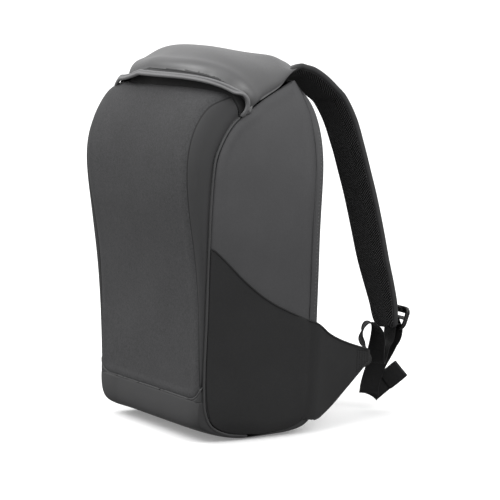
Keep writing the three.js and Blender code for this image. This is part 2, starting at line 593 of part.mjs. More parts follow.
// A stretch pocket over the lower side, and the wing behind it. The lowest rows of the grid are the
// pocket's own: the wing starts above them, where the rear seam has turned upright.
const POCKET_ROWS = 5;
function sidePocket() {
  const own = SIDE_OUTLINE.slice(0, 4).map((row) => row.height * BODY_HEIGHT);
  own[0] += SEAM_GAP;
  const corner = [SIDE_OUTLINE[4], SIDE_OUTLINE[5]].map((row) => row.height * BODY_HEIGHT);
  const upper = SIDE_OUTLINE[7].height * BODY_HEIGHT;
  const proud = POCKET_WALL + POCKET_GAP;
  const columns = POCKET_TOP.map(({ across, height }) => {
    const heights = evenly(POCKET_ROWS).map((share) => THREE.MathUtils.lerp(upper, height * WING_HEIGHT, share));
    return [...own, ...corner, ...heights].map((at) => (
      sideRow(at / BODY_HEIGHT, [across], SEAM_ROOM, SEAM_GAP, proud)[0]
    ));
  });
  const last = columns.length - 1;
  const rise = columns[last].slice(own.length).map((point) => point.z);
  const shares = rise.map((z) => (z - rise[0]) / (rise[rise.length - 1] - rise[0]));
  const seam = seamPoint('rear', WING_HEIGHT / BODY_HEIGHT).y;
  for (const { back, lowHalf, highHalf, low: bottom, high } of WING) {
    const upright = shares.map((share) => new THREE.Vector3(
      THREE.MathUtils.lerp(lowHalf, highHalf, share) * HALF_WIDTH,
      seam + back * WING_REACH,
      THREE.MathUtils.lerp(bottom, high, share) * WING_HEIGHT,
    ));
    columns.push([...own.map(() => upright[0]), ...upright]);
  }
  const inner = columns.map((column) => column.map((point) => point.clone().setX(point.x - POCKET_WALL)));
  return wallBetween(columns, inner, (i, j) => i < last || j >= own.length);
}

// Place on the middle line of a strap's outer face
function strapPoint({ back, height }, side) {
  const fall = (1 - height) * STRAP_DROP;
  return new THREE.Vector3(side * STRAP_OFFSET, back * STRAP_SWING, BODY_HEIGHT + STRAP_RISE - fall);
}

// A padded strap under its outer face
function shoulderStrap(table, side) {
  const face = table.map((row) => strapPoint(row, side));
  const rings = face.map((point, i) => {
    const along = face[Math.min(i + 1, face.length - 1)].clone().sub(face[Math.max(i - 1, 0)]).normalize();
    const out = new THREE.Vector3(0, -along.z, along.y);
    const centre = point.clone().addScaledVector(out, -STRAP_THICKNESS / 2);
    const wide = new THREE.Vector3(1, 0, 0);
    return ring(centre, wide, out, (table[i].width * STRAP_WIDTH) / 2, STRAP_THICKNESS / 2, 12, 2.6);
  });
  return solidThrough(rings);
}

// A flat strap through a list of places, each with the direction of its width
function flatStrap(places, widths, steps, width) {
  const middle = new THREE.CatmullRomCurve3(places, false, 'catmullrom');
  const across = new THREE.CatmullRomCurve3(widths, false, 'catmullrom');
  const rings = evenly(steps).map((share) => {
    const along = middle.getTangent(share);
    const wide = across.getPoint(share);
    wide.addScaledVector(along, -wide.dot(along)).normalize();
    const deep = along.clone().cross(wide);
    const corner = (a, b) => middle.getPoint(share)
      .addScaledVector(wide, (a * width) / 2)
      .addScaledVector(deep, (b * WEBBING_THICKNESS) / 2);
    return [corner(-1, -1), corner(1, -1), corner(1, 1), corner(-1, 1)];
  });
  return solidThrough(rings);
}

// Middle of a ladder lock: it hangs off the outer face of a strap's lower end
function lockMiddle(table, side) {
  return strapPoint(table[table.length - 1], side).add(new THREE.Vector3(0, LOCK_STAND, 0));
}

// Middle of a lock's top bar (way 1) or bottom bar (way -1)
function lockBar(table, side, way) {
  const tilt = THREE.MathUtils.degToRad(LOCK_TILT);
  const reach = (way * (LOCK_HEIGHT - LOCK_BAR)) / 2;
  return lockMiddle(table, side).add(new THREE.Vector3(0, Math.sin(tilt) * reach, Math.cos(tilt) * reach));
}

// Half the thickness of a strap on a bar, measured from the middle of the bar
const WRAP_RADIUS = Math.hypot(LOCK_THICKNESS, LOCK_BAR) / 2 + 3 * SEAM_GAP + WEBBING_THICKNESS / 2;

// Places of a strap that turns round a bar from one angle to another, seen from the side
function wrapRound(bar, from, to) {
  return evenly(4).map((share) => {
    const angle = THREE.MathUtils.degToRad(THREE.MathUtils.lerp(from, to, share));
    return new THREE.Vector3(bar.x, bar.y + WRAP_RADIUS * Math.cos(angle), bar.z + WRAP_RADIUS * Math.sin(angle));
  });
}

function ladderLock(table, side) {
  const half = { x: LOCK_WIDTH / 2, y: LOCK_HEIGHT / 2 };
  const shape = new THREE.Shape();
  shape.moveTo(half.x - LOCK_CORNER, -half.y);
  shape.absarc(half.x - LOCK_CORNER, -half.y + LOCK_CORNER, LOCK_CORNER, -Math.PI / 2, 0);
  shape.absarc(half.x - LOCK_CORNER, half.y - LOCK_CORNER, LOCK_CORNER, 0, Math.PI / 2);
  shape.absarc(-half.x + LOCK_CORNER, half.y - LOCK_CORNER, LOCK_CORNER, Math.PI / 2, Math.PI);
  shape.absarc(-half.x + LOCK_CORNER, -half.y + LOCK_CORNER, LOCK_CORNER, Math.PI, Math.PI * 1.5);
  const slotHalf = half.x - LOCK_BAR;
  for (const way of [1, -1]) {
    const near = way * (LOCK_BAR / 2);
    const far = way * (half.y - LOCK_BAR);
    shape.holes.push(new THREE.Path([
      new THREE.Vector2(-slotHalf, near),
      new THREE.Vector2(slotHalf, near),
      new THREE.Vector2(slotHalf, far),
      new THREE.Vector2(-slotHalf, far),
    ]));
  }
  const geometry = new THREE.ExtrudeGeometry(shape, { depth: LOCK_THICKNESS, bevelEnabled: false, curveSegments: 4 });
  geometry.translate(0, 0, -LOCK_THICKNESS / 2);
  geometry.rotateX(Math.PI / 2 - THREE.MathUtils.degToRad(LOCK_TILT));
  const middle = lockMiddle(table, side);
  return geometry.translate(middle.x, middle.y, middle.z);
}

// The tab runs down the strap's outer face, passes through the lock and is folded round its top bar
function strapTab(table, side) {
  const bar = lockBar(table, side, 1);
  const proud = TAB_GAP + WEBBING_THICKNESS / 2;
  const face = table.map((row) => strapPoint(row, side));
  const places = [];
  for (let i = 1; i < face.length - 1; i += 1) {
    if (face[i].z > bar.z && face[i].z < bar.z + TAB_REACH) {
      const along = face[i + 1].clone().sub(face[i - 1]).normalize();
      const out = new THREE.Vector3(0, -along.z, along.y);
      places.push(face[i].clone().addScaledVector(out, proud));
    }
  }
  places.push(...wrapRound(bar, 180, 360));
  const widths = places.map(() => new THREE.Vector3(1, 0, 0));
  return flatStrap(places, widths, places.length * 2, WEBBING_WIDTH);
}

// The lower webbing: sewn to the inner face of the wing's tip, over the lock's bottom bar and down to
// its free end
function lowerWebbing(table, load, tail, side) {
  const tip = WING[WING.length - 1];
  const inside = WING[WING.length - 3];
  const proud = POCKET_WALL + 2 * POCKET_GAP + WEBBING_THICKNESS;
  const seam = seamPoint('rear', WING_HEIGHT / BODY_HEIGHT).y;
  const onWing = (row) => new THREE.Vector3(
    side * (((row.lowHalf + row.highHalf) / 2) * HALF_WIDTH - proud),
    seam + row.back * WING_REACH,
    ((row.low + row.high) / 2) * WING_HEIGHT,
  );
  const start = onWing(tip);
  const bar = lockBar(table, side, -1);
  const way = new THREE.Vector3().subVectors(bar, start).setZ(0);
  const ahead = way.clone().normalize();
  const aside = new THREE.Vector3(side * ahead.y, -side * ahead.x, 0);
  const places = [onWing(inside), start];
  const widths = [new THREE.Vector3(0.03 * side, -0.3, 1), new THREE.Vector3(0.03 * side, -0.5, 0.8)];
  for (const row of load) {
    places.push(new THREE.Vector3(start.x, start.y, THREE.MathUtils.lerp(start.z, bar.z, row.along))
      .addScaledVector(way, row.along)
      .addScaledVector(aside, row.aside * WEBBING_SLACK)
      .add(new THREE.Vector3(0, 0, row.up * WEBBING_SLACK)));
    widths.push(new THREE.Vector3(row.x * side, row.y, row.z));
  }
  for (const place of wrapRound(bar, 180, 0)) {
    places.push(place);
    widths.push(new THREE.Vector3(side, 0, 0));
  }
  for (const row of tail) {
    places.push(new THREE.Vector3(
      bar.x + side * row.aside * WEBBING_SLACK,
      bar.y + row.back * WEBBING_SLACK,
      row.height * bar.z,
    ));
    widths.push(new THREE.Vector3(row.x * side, row.y, row.z));
  }
  return flatStrap(places, widths, places.length * 2, WEBBING_WIDTH);
}

addPiece('base', base(), BASE_CLOTH);
addPiece('front_panel', frontPanel(), HEATHER);
addPiece('back_panel', backPanel(), MESH_CLOTH);
addPiece('hood', bandWall(hoodRows, HOOD_WALL, HOOD_STEPS, 1), SATIN);
addPiece('hood_lip', hoodLip(), PIPING);
const sides = [
  { name: 'right', side: 1, strap: RIGHT_STRAP, load: RIGHT_LOAD, tail: [...RIGHT_TAIL, ...RIGHT_FOLD] },
  { name: 'left', side: -1, strap: LEFT_STRAP, load: LEFT_LOAD, tail: [...LEFT_TAIL, ...LEFT_FOLD] },
];
for (const { name, side, strap, load, tail } of sides) {
  const placed = (geometry) => (side > 0 ? geometry : mirrored(geometry));
  addPiece(`side_panel_${name}`, placed(sidePanel()), SIDE_CLOTH);
  addPiece(`seam_piping_${name}`, placed(seamPiping()), PIPING);
  addPiece(`side_pocket_${name}`, placed(sidePocket()), STRETCH);
  addPiece(`shoulder_strap_${name}`, shoulderStrap(strap, side), MESH_CLOTH);
  addPiece(`strap_tab_${name}`, strapTab(strap, side), WEBBING);
  addPiece(`ladder_lock_${name}`, ladderLock(strap, side), LOCK_PLASTIC);
  addPiece(`lower_webbing_${name}`, lowerWebbing(strap, load, tail, side), WEBBING);
}

export default backpack;
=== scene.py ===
import math

import bmesh
import bpy
import numpy as np
from mathutils import Matrix, Vector, noise
from mathutils.bvhtree import BVHTree


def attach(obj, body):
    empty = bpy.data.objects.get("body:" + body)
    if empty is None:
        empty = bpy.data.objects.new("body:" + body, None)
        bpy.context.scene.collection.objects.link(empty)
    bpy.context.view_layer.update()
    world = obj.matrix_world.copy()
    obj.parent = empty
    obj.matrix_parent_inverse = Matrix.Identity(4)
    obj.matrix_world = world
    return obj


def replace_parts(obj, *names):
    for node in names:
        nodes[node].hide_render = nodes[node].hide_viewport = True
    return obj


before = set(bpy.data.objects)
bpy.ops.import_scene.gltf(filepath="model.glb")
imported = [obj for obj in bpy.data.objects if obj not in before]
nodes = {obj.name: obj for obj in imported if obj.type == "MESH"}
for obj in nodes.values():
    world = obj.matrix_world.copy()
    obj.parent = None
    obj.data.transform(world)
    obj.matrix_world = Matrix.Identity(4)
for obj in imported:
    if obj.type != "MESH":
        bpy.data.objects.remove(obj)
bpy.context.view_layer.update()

MM = 0.001

# Camera, floor and light
CAMERA_PLACE = (2.79125, -1.51553, 0.61498)
CAMERA_AZIMUTH = 60.583
CAMERA_ELEVATION = 7.275
FOCAL_PIXELS = 2675.2
IMAGE_PIXELS = 500
SENSOR_WIDTH = 36
VIEW_END = 100


def add_object(name, data):
    made = bpy.data.objects.new(name, data)
    bpy.context.scene.collection.objects.link(made)
    return made


def make_camera():
    turn, tilt = math.radians(CAMERA_AZIMUTH), math.radians(CAMERA_ELEVATION)
    back = Vector((math.sin(turn) * math.cos(tilt), -math.cos(turn) * math.cos(tilt), math.sin(tilt)))
    right = Vector((math.cos(turn), math.sin(turn), 0))
    up = back.cross(right)
    data = bpy.data.cameras.new("camera")
    data.sensor_width = SENSOR_WIDTH
    data.lens = FOCAL_PIXELS / IMAGE_PIXELS * SENSOR_WIDTH
    data.clip_end = VIEW_END
    camera = add_object("camera", data)
    rows = [[right[i], up[i], back[i], CAMERA_PLACE[i]] for i in range(3)] + [[0, 0, 0, 1]]
    camera.matrix_world = Matrix(rows)
    bpy.context.scene.camera = camera


def add_light(name, kind, energy, towards, place=(0, 0, 0)):
    data = bpy.data.lights.new(name, kind)
    data.energy = energy
    light = add_object(name, data)
    light.location = place
    light.rotation_euler = towards.to_track_quat("-Z", "Y").to_euler()
    return data


# Brightness of the surroundings at heights of the direction from -1, straight down, to 1, straight up
SKY = [(-1, 0.22), (-0.3, 0.3), (-0.06, 0.55), (0.08, 0.9), (0.45, 1.15), (1, 1.3)]
FLOOR_GLOW = 0.2
FLOOR_GREY = 0.85
FLOOR_REACH = 60
KEY_LIGHT_WAY, KEY_LIGHT_STRENGTH, KEY_LIGHT_ANGLE = (0.1, -0.75, 1.0), 0.9, 60
AREA_LIGHTS = [
    # name, place, target, side, power
    ("front_light", (-0.4, -1.1, 1.15), (0, -0.05, 0.4), 0.6, 8),
    ("side_light", (1.3, 0.3, 0.95), (0.1, 0, 0.4), 0.6, 7),
]


def set_stops(ramp, stops):
    while len(ramp.elements) < len(stops):
        ramp.elements.new(0.5)
    for element, (place, color) in zip(ramp.elements, stops):
        element.position = place
        element.color = (*color, 1)


def make_stage():
    world = bpy.data.worlds.new("studio")
    bpy.context.scene.world = world
    world.use_nodes = True
    tree = world.node_tree
    place = tree.nodes.new("ShaderNodeTexCoord")
    split = tree.nodes.new("ShaderNodeSeparateXYZ")
    tree.links.new(place.outputs["Generated"], split.inputs[0])
    share = tree.nodes.new("ShaderNodeMath")
    share.operation = "MULTIPLY_ADD"
    tree.links.new(split.outputs["Z"], share.inputs[0])
    share.inputs[1].default_value = 0.5
    share.inputs[2].default_value = 0.5
    shade = tree.nodes.new("ShaderNodeValToRGB")
    set_stops(shade.color_ramp, [((height + 1) / 2, (light,) * 3) for height, light in SKY])
    tree.links.new(share.outputs[0], shade.inputs[0])
    tree.links.new(shade.outputs["Color"], tree.nodes["Background"].inputs["Color"])
    bpy.context.scene.view_settings.view_transform = "Standard"
    key = add_light("key_light", "SUN", KEY_LIGHT_STRENGTH, -Vector(KEY_LIGHT_WAY))
    key.angle = math.radians(KEY_LIGHT_ANGLE)
    for name, at, target, side, power in AREA_LIGHTS:
        light = add_light(name, "AREA", power, Vector(target) - Vector(at), at)
        light.shape = "RECTANGLE"
        light.size = light.size_y = side
    mesh = bpy.data.meshes.new("floor")
    corners = [(x * FLOOR_REACH, y * FLOOR_REACH, 0) for x, y in ((-1, -1), (1, -1), (1, 1), (-1, 1))]
    mesh.from_pydata(corners, [], [(0, 1, 2, 3)])
    floor = add_object("floor", mesh)
    paint = Paint("floor_paint", (FLOOR_GREY,) * 3, 0.95, specular=0.1)
    paint.put("Emission Color", (1, 1, 1, 1))
    paint.put("Emission Strength", FLOOR_GLOW)
    mesh.materials.append(paint.material)
    floor.visible_diffuse = False
    floor.visible_glossy = False


# Materials
SHEEN_ROUGH = 0.45
# The colour sockets of a Mix node, and its colour output
MIX_A, MIX_B, MIX_RESULT = 6, 7, 2


class Paint:
    """A Principled material, with helpers for the nodes that feed it."""

    def __init__(self, name, color, rough, sheen=0.0, specular=0.5):
        self.material = bpy.data.materials.new(name)
        self.material.use_nodes = True
        self.tree = self.material.node_tree
        self.shader = self.tree.nodes["Principled BSDF"]
        self.color = color
        self.put("Base Color", (*color, 1))
        self.put("Roughness", rough)
        self.put("Sheen Weight", sheen)
        self.put("Sheen Roughness", SHEEN_ROUGH)
        self.put("Specular IOR Level", specular)
        self.place = self.node("ShaderNodeTexCoord").outputs["Object"]
        self.height = None

    def put(self, socket, value):
        self.shader.inputs[socket].default_value = value

    def node(self, kind, **settings):
        made = self.tree.nodes.new(kind)
        for key, value in settings.items():
            setattr(made, key, value)
        return made

    def join(self, source, target):
        if isinstance(source, (int, float, tuple)):
            target.default_value = source
        else:
            self.tree.links.new(source, target)

    def math(self, operation, *values):
        made = self.node("ShaderNodeMath", operation=operation)
        for value, socket in zip(values, made.inputs):
            self.join(value, socket)
        return made.outputs[0]

    def along(self, direction, place=None):
        """Length along a direction, in millimetres."""
        made = self.node("ShaderNodeVectorMath", operation="DOT_PRODUCT")
        self.join(place or self.place, made.inputs[0])
        made.inputs[1].default_value = [part / MM for part in direction]
        return made.outputs["Value"]

    def attribute(self, name, output="Vector"):
        return self.node("ShaderNodeAttribute", attribute_name=name).outputs[output]

    def noise(self, size, detail=2.0, seed=0.0):
        """Noise from 0 to 1 whose spots are about size millimetres."""
        scale = self.node("ShaderNodeVectorMath", operation="MULTIPLY_ADD")
        self.join(self.place, scale.inputs[0])
        scale.inputs[1].default_value = [1 / (size * MM)] * 3
        scale.inputs[2].default_value = (seed, seed * 0.7, seed * 1.3)
        made = self.node("ShaderNodeTexNoise")
        made.inputs["Scale"].default_value = 1.0
        made.inputs["Detail"].default_value = detail
        self.join(scale.outputs[0], made.inputs["Vector"])
        return made.outputs["Fac"]

    def ramp(self, value, stops):
        made = self.node("ShaderNodeValToRGB")
        self.join(value, made.inputs[0])
        set_stops(made.color_ramp, stops)
        return made.outputs["Color"]

    def mix(self, share, a, b, blend="MIX"):
        made = self.node("ShaderNodeMix", data_type="RGBA", blend_type=blend)
        self.join(share, made.inputs[0])
        self.join(a, made.inputs[MIX_A])
        self.join(b, made.inputs[MIX_B])
        return made.outputs[MIX_RESULT]

    def times(self, a, b):
        return self.mix(1.0, a, b, "MULTIPLY")

    def tint(self, value, low, high):
        """Base colour times a factor that runs from low to high with value."""
        dark = tuple(part * low for part in self.color)
        light = tuple(part * high for part in self.color)
        return self.ramp(value, [(0.25, dark), (0.75, light)])

    def dye(self, color):
        self.join(color, self.shader.inputs["Base Color"])

    def bump(self, height, depth, strength=1.0):
        """Adds a relief whose full height is depth millimetres."""
        made = self.node("ShaderNodeBump")
        made.inputs["Distance"].default_value = depth * MM
        made.inputs["Strength"].default_value = strength
        self.join(height, made.inputs["Height"])
        if self.height:
            self.join(self.height, made.inputs["Normal"])
        self.height = made.outputs["Normal"]
        self.join(self.height, self.shader.inputs["Normal"])

    def weave(self, across, along, pitch):
        """Height of a plain weave from 0 to 1."""
        return self.upward(self.math("MULTIPLY", self.wave(across, pitch), self.wave(along, pitch)))

    def wave(self, run, pitch):
        return self.math("SINE", self.math("MULTIPLY", run, 2 * math.pi / pitch))

    def upward(self, value):
        """A value from -1 to 1, made one from 0 to 1."""
        return self.math("MULTIPLY_ADD", value, 0.5, 0.5)


class Cloth(Paint):
    """Cloth with a fine weave, a heather grain and slow uneven shade."""

    FINE, COARSE, PATCH, SWELL = 1.1, 2.8, 38, 26
    COARSE_SHARE = 0.4
    PATCH_SHADE = [(0.3, (0.95,) * 3), (0.7, (1.05,) * 3)]
    WAVE, WAVE_STRENGTH = 0.6, 0.5

    def __init__(self, name, color, rough, across, along, pitch, grain, sheen=0.0, relief=0.1, specular=0.3):
        super().__init__(name, color, rough, sheen=sheen, specular=specular)
        fine = self.noise(self.FINE, 3)
        coarse = self.noise(self.COARSE, 2, seed=2.0)
        low, high = 1 - grain, 1 + grain
        grainy = self.mix(self.COARSE_SHARE, self.tint(fine, low, high), self.tint(coarse, low, high))
        self.shade = self.times(grainy, self.ramp(self.noise(self.PATCH, 2, seed=4.0), self.PATCH_SHADE))
        self.dye(self.shade)
        self.bump(self.weave(self.along(across), self.along(along), pitch), relief)
        self.bump(fine, relief)
        self.bump(self.noise(self.SWELL, 2, seed=9.0), self.WAVE, self.WAVE_STRENGTH)


# Meshes
# Reach of a weld in metres
WELD = 2e-6


def cubic(points, share):
    """Place on a smooth curve through the points, at a share from 0 to 1."""
    points = np.asarray(points, float)
    place = np.clip(share, 0, 1) * (len(points) - 1)
    i = int(min(math.floor(place), len(points) - 2))
    t = place - i
    p1, p2 = points[i], points[i + 1]
    p0 = points[i - 1] if i > 0 else 2 * p1 - p2
    p3 = points[i + 2] if i + 2 < len(points) else 2 * p2 - p1
    linear, square, cube = p2 - p0, 2 * p0 - 5 * p1 + 4 * p2 - p3, 3 * p1 - p0 - 3 * p2 + p3
    return 0.5 * (2 * p1 + linear * t + square * t * t + cube * t ** 3)


def cubic_slope(points, share, step=1e-3):
    return unit(cubic(points, min(1, share + step)) - cubic(points, max(0, share - step)))


def unit(vector):
    return vector / max(np.linalg.norm(vector), 1e-9)


def way_along(line, i):
    return line[min(i + 1, len(line) - 1)] - line[max(i - 1, 0)]


def smooth_line(points, count):
    return np.array([cubic(points, share) for share in np.linspace(0, 1, count)])


def runs(line):
    """Length of a line of points up to each of them."""
    return np.concatenate([[0], np.cumsum(np.linalg.norm(np.diff(line, axis=0), axis=1))])


def evenly_along(line, pitch):
    """Places a pitch apart along a line of points."""
    line = np.asarray(line, float)
    run = runs(line)
    count = max(2, int(run[-1] / pitch) + 1)
    at = np.linspace(0, run[-1], count)
    return np.stack([np.interp(at, run, line[:, axis]) for axis in range(3)], axis=1)


def new_object(name, mesh, materials):
    piece = add_object(name, mesh)
    for material in materials:
        mesh.materials.append(material)
    mesh.polygons.foreach_set("use_smooth", [True] * len(mesh.polygons))
    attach(piece, "root")
    return piece


def welded(node):
    """A CAD node's mesh to work on, with the corners that lie together made one."""
    made = bmesh.new()
    made.from_mesh(nodes[node].data)
    bmesh.ops.remove_doubles(made, verts=made.verts, dist=WELD)
    return made


def kept(made, name):
    mesh = bpy.data.meshes.new(name)
    made.to_mesh(mesh)
    made.free()
    mesh.update()
    return mesh


def turn_out(mesh):
    made = bmesh.new()
    made.from_mesh(mesh)
    bmesh.ops.recalc_face_normals(made, faces=made.faces)
    made.to_mesh(mesh)
    made.free()


def loft(name, rings, materials, cloth=None, face_material=None):
    """A closed tube through rings of points. cloth holds each point's place on its cloth."""
    rings = np.asarray(rings, float)
    count, around = rings.shape[:2]
    faces, kinds = [], []
    for i in range(count - 1):
        for j in range(around):
            k = (j + 1) % around
            faces.append((i * around + j, i * around + k, (i + 1) * around + k, (i + 1) * around + j))
            kinds.append(face_material(i, j) if face_material else 0)
    faces.append(tuple(range(around - 1, -1, -1)))
    faces.append(tuple((count - 1) * around + j for j in range(around)))
    kinds += [0, 0]
    mesh = bpy.data.meshes.new(name)
    mesh.from_pydata((rings.reshape(-1, 3) * MM).tolist(), [], faces)
    mesh.polygons.foreach_set("material_index", kinds)
    if cloth is not None:
        layer = mesh.attributes.new("cloth", "FLOAT_VECTOR", "POINT")
        flat = np.zeros((count * around, 3))
        flat[:, :2] = np.asarray(cloth, float).reshape(-1, 2) * MM
        layer.data.foreach_set("vector", flat.ravel())
    mesh.update()
    turn_out(mesh)
    return new_object(name, mesh, materials)


def bead(name, line, radius, material, out=None, sides=10):
    """A round cord along a line, narrowed at its ends. out holds the ways out of what it lies on."""
    rings = []
    for i in range(len(line)):
        along = unit(way_along(line, i))
        deep = out[i] if out is not None else np.array([0, -along[2], along[1]])
        deep = unit(deep - along * (deep @ along))
        wide = np.cross(along, deep)
        end = 0.5 if i in (0, len(line) - 1) else 1
        angles = np.linspace(0, 2 * math.pi, sides, endpoint=False)
        rings.append([line[i] + end * radius * (wide * math.cos(a) + deep * math.sin(a)) for a in angles])
    return loft(name, rings, [material])


# Angles in degrees: two triangles that are one quad, and a crisp rim
QUAD_FOLD, QUAD_SKEW = 50, 70
RIM_ANGLE, RIM_CREASE = 48, 0.85
SMOOTH_LEVELS = 3


def soft_copy(node, cuts=(), band=None):
    """A smooth copy of a CAD node: quads again, cut level at some heights, subdivided, with crisp rims."""
    made = welded(node)
    bmesh.ops.join_triangles(
        made, faces=made.faces,
        angle_face_threshold=math.radians(QUAD_FOLD), angle_shape_threshold=math.radians(QUAD_SKEW),
    )
    for height in cuts:
        parts = made.verts[:] + made.edges[:] + made.faces[:]
        level = (0, 0, height * MM)
        bmesh.ops.bisect_plane(made, geom=parts, dist=1e-7, plane_co=level, plane_no=(0, 0, 1))
    for face in made.faces:
        face.material_index = int(band is not None and abs(face.calc_center_median().x) > band * MM)
    crease = made.edges.layers.float.new("crease_edge")
    for edge in made.edges:
        if len(edge.link_faces) == 2 and edge.calc_face_angle(0) > math.radians(RIM_ANGLE):
            edge[crease] = RIM_CREASE
    holder = add_object(node + "_holder", kept(made, node + "_soft"))
    modifier = holder.modifiers.new("smooth", "SUBSURF")
    modifier.levels = modifier.render_levels = SMOOTH_LEVELS
    graph = bpy.context.evaluated_depsgraph_get()
    smooth = bpy.data.meshes.new_from_object(holder.evaluated_get(graph))
    bpy.data.objects.remove(holder)
    for layer in list(smooth.attributes):
        if layer.name == "crease_edge":
            smooth.attributes.remove(layer)
    return smooth


def read_points(mesh):
    points = np.zeros(len(mesh.vertices) * 3)
    mesh.vertices.foreach_get("co", points)
    normals = np.zeros(len(mesh.vertices) * 3)
    mesh.vertex_normals.foreach_get("vector", normals)
    return points.reshape(-1, 3) / MM, normals.reshape(-1, 3)


def write_points(mesh, points):
    mesh.vertices.foreach_set("co", (points * MM).ravel())
    mesh.update()


def distance_to(points, line):
    """Distance of each point from a line of points."""
    best = np.full(len(points), 1e9)
    for a, b in zip(line[:-1], line[1:]):
        span = b - a
        length = span @ span
        if length > 1e-12:
            share = np.clip(((points - a) @ span) / length, 0, 1)
            best = np.minimum(best, np.linalg.norm(points - (a + share[:, None] * span), axis=1))
    return best


def bell(gap, place, width):
    return np.exp(-(((gap - place) / width) ** 2))


def waves(points, size, seed):
    """Slow swells and hollows from -1 to 1."""
    return np.array([noise.noise(Vector(point / size) + Vector((seed, 0, 0))) for point in points])


def surface_of(piece):
    mesh = piece.data
    points, _ = read_points(mesh)
    return BVHTree.FromPolygons(points.tolist(), [tuple(face.vertices) for face in mesh.polygons])


def on_surface(surface, line):
    """Nearest places on a surface, and the ways out of it there."""
    found = [surface.find_nearest(Vector(point)) for point in line]
    return np.array([place for place, *_ in found]), np.array([way for _, way, *_ in found])


THREAD_PROFILE = [(-0.5, 0.0), (-0.42, 0.7), (-0.2, 1.0), (0.2, 1.0), (0.42, 0.7), (0.5, 0.0)]


def stitches(name, lines, surface, material, pitch=3.2, length=2.3, radius=0.32, sides=6):
    """Rows of short threads laid on a surface along lines of points."""
    points, faces = [], []
    for line in lines:
        places, ways = on_surface(surface, evenly_along(line, pitch))
        for i, (place, out) in enumerate(zip(places, ways)):
            along = way_along(places, i)
            along = unit(along - out * (along @ out))
            wide = np.cross(along, out)
            first = len(points)
            for share, swell in THREAD_PROFILE:
                for side in range(sides):
                    angle = 2 * math.pi * side / sides
                    way = wide * math.cos(angle) + out * math.sin(angle)
                    points.append(place + along * share * length + way * radius * max(swell, 0.15))
            for row in range(len(THREAD_PROFILE) - 1):
                for side in range(sides):
                    a, b = first + row * sides + side, first + row * sides + (side + 1) % sides
                    faces.append((a, b, b + sides, a + sides))
            last = first + (len(THREAD_PROFILE) - 1) * sides
            faces.append(tuple(range(first + sides - 1, first - 1, -1)))
            faces.append(tuple(range(last, last + sides)))
    mesh = bpy.data.meshes.new(name)
    mesh.from_pydata((np.array(points) * MM).tolist(), [], faces)
    mesh.update()
    turn_out(mesh)
    return new_object(name, mesh, [material])


# Sizes shared with the part
BODY_HEIGHT = 416
HALF_WIDTH = 141
HALF_DEPTH = 75
BODY_DEPTH = 2 * HALF_DEPTH
SIDE_BULGE = 5
FULL_DEPTH = 0.8
HOOD_RISE = 63
HOOD_REACH = 60
HOOD_CORNER = 8
HOOD_SAG = 9
HOOD_WALL = 3
PIPING_RADIUS = 1.6
LIP_HEIGHT = 7
LIP_THICKNESS = 4.4
LIP_FLARE = 0.35
SEAM_GAP = 0.3
SEAM_ROOM = PIPING_RADIUS + SEAM_GAP
SIDE_OUTLINE = [
    # height, front half, front edge, rear half, rear edge
    (0.012, 0.825, -0.15, 0.825, 0.15), (0.015, 0.828, -0.3, 0.828, 0.36),
    (0.02, 0.833, -0.47, 0.833, 0.56), (0.031, 0.843, -0.65, 0.843, 0.74),
    (0.046, 0.855, -0.79, 0.853, 0.82), (0.063, 0.865, -0.875, 0.863, 0.85),
    (0.09, 0.876, -0.94, 0.875, 0.868), (0.123, 0.886, -0.97, 0.886, 0.872),
    (0.221, 0.908, -0.985, 0.904, 0.872), (0.349, 0.943, -0.982, 0.931, 0.871),
    (0.478, 0.972, -0.985, 0.96, 0.87), (0.572, 0.992, -0.982, 0.972, 0.88),
    (0.657, 1.0, -0.965, 0.972, 0.91), (0.743, 1.0, -0.924, 0.957, 0.96), (0.804, 0.993, -0.86, 0.926, 0.99),
    (0.858, 0.979, -0.7, 0.879, 1.0), (0.892, 0.963, -0.54, 0.844, 0.997), (0.911, 0.948, -0.4, 0.819, 0.987),
    (0.927, 0.922, -0.22, 0.798, 0.973), (0.95, 0.879, 0.005, 0.766, 0.947),
    (0.968, 0.83, 0.24, 0.741, 0.924),
    (0.985, 0.773, 0.507, 0.713, 0.887), (1.0, 0.703, 0.75, 0.69, 0.855),
]
HOOD_FRONT = [
    # height, forward, rise, plan, arch, corner, sag
    (0.918, -1.035, 0.71, 1.9, 5.2, 1, 1), (0.92, -0.95, 0.82, 1.9, 3.9, 0.5, 0.9),
]
POCKET_WALL = 1.6
POCKET_GAP = 0.5
WING_REACH = 100
WING_HEIGHT = 136
POCKET_TOP = [
    # across, height
    (0, 1.7), (0.06, 1.66), (0.16, 1.56), (0.3, 1.42), (0.46, 1.285), (0.62, 1.18), (0.8, 1.09), (0.93, 1.03),
    (1, 1.005),
]
WING = [
    # back, low half, high half, low, high
    (0.1, 0.88, 0.947, 0.115, 0.975), (0.3, 0.815, 0.88, 0.16, 0.868), (0.53, 0.775, 0.81, 0.285, 0.784),
    (0.76, 0.75, 0.765, 0.43, 0.72), (0.92, 0.735, 0.742, 0.53, 0.68), (1, 0.727, 0.731, 0.567, 0.66),
]
STRAP_WIDTH = 62
STRAP_THICKNESS = 9
STRAP_OFFSET = 64
STRAP_RISE = 20
STRAP_DROP = 436
STRAP_SWING = 218
WEBBING_WIDTH = 24
WEBBING_THICKNESS = 1.8
WEBBING_SLACK = 30
LOCK_HEIGHT = 30
LOCK_BAR = 4.5
LOCK_THICKNESS = 5
LOCK_STAND = 10
LOCK_TILT = 20
TAB_REACH = 62
TAB_GAP = 0.6
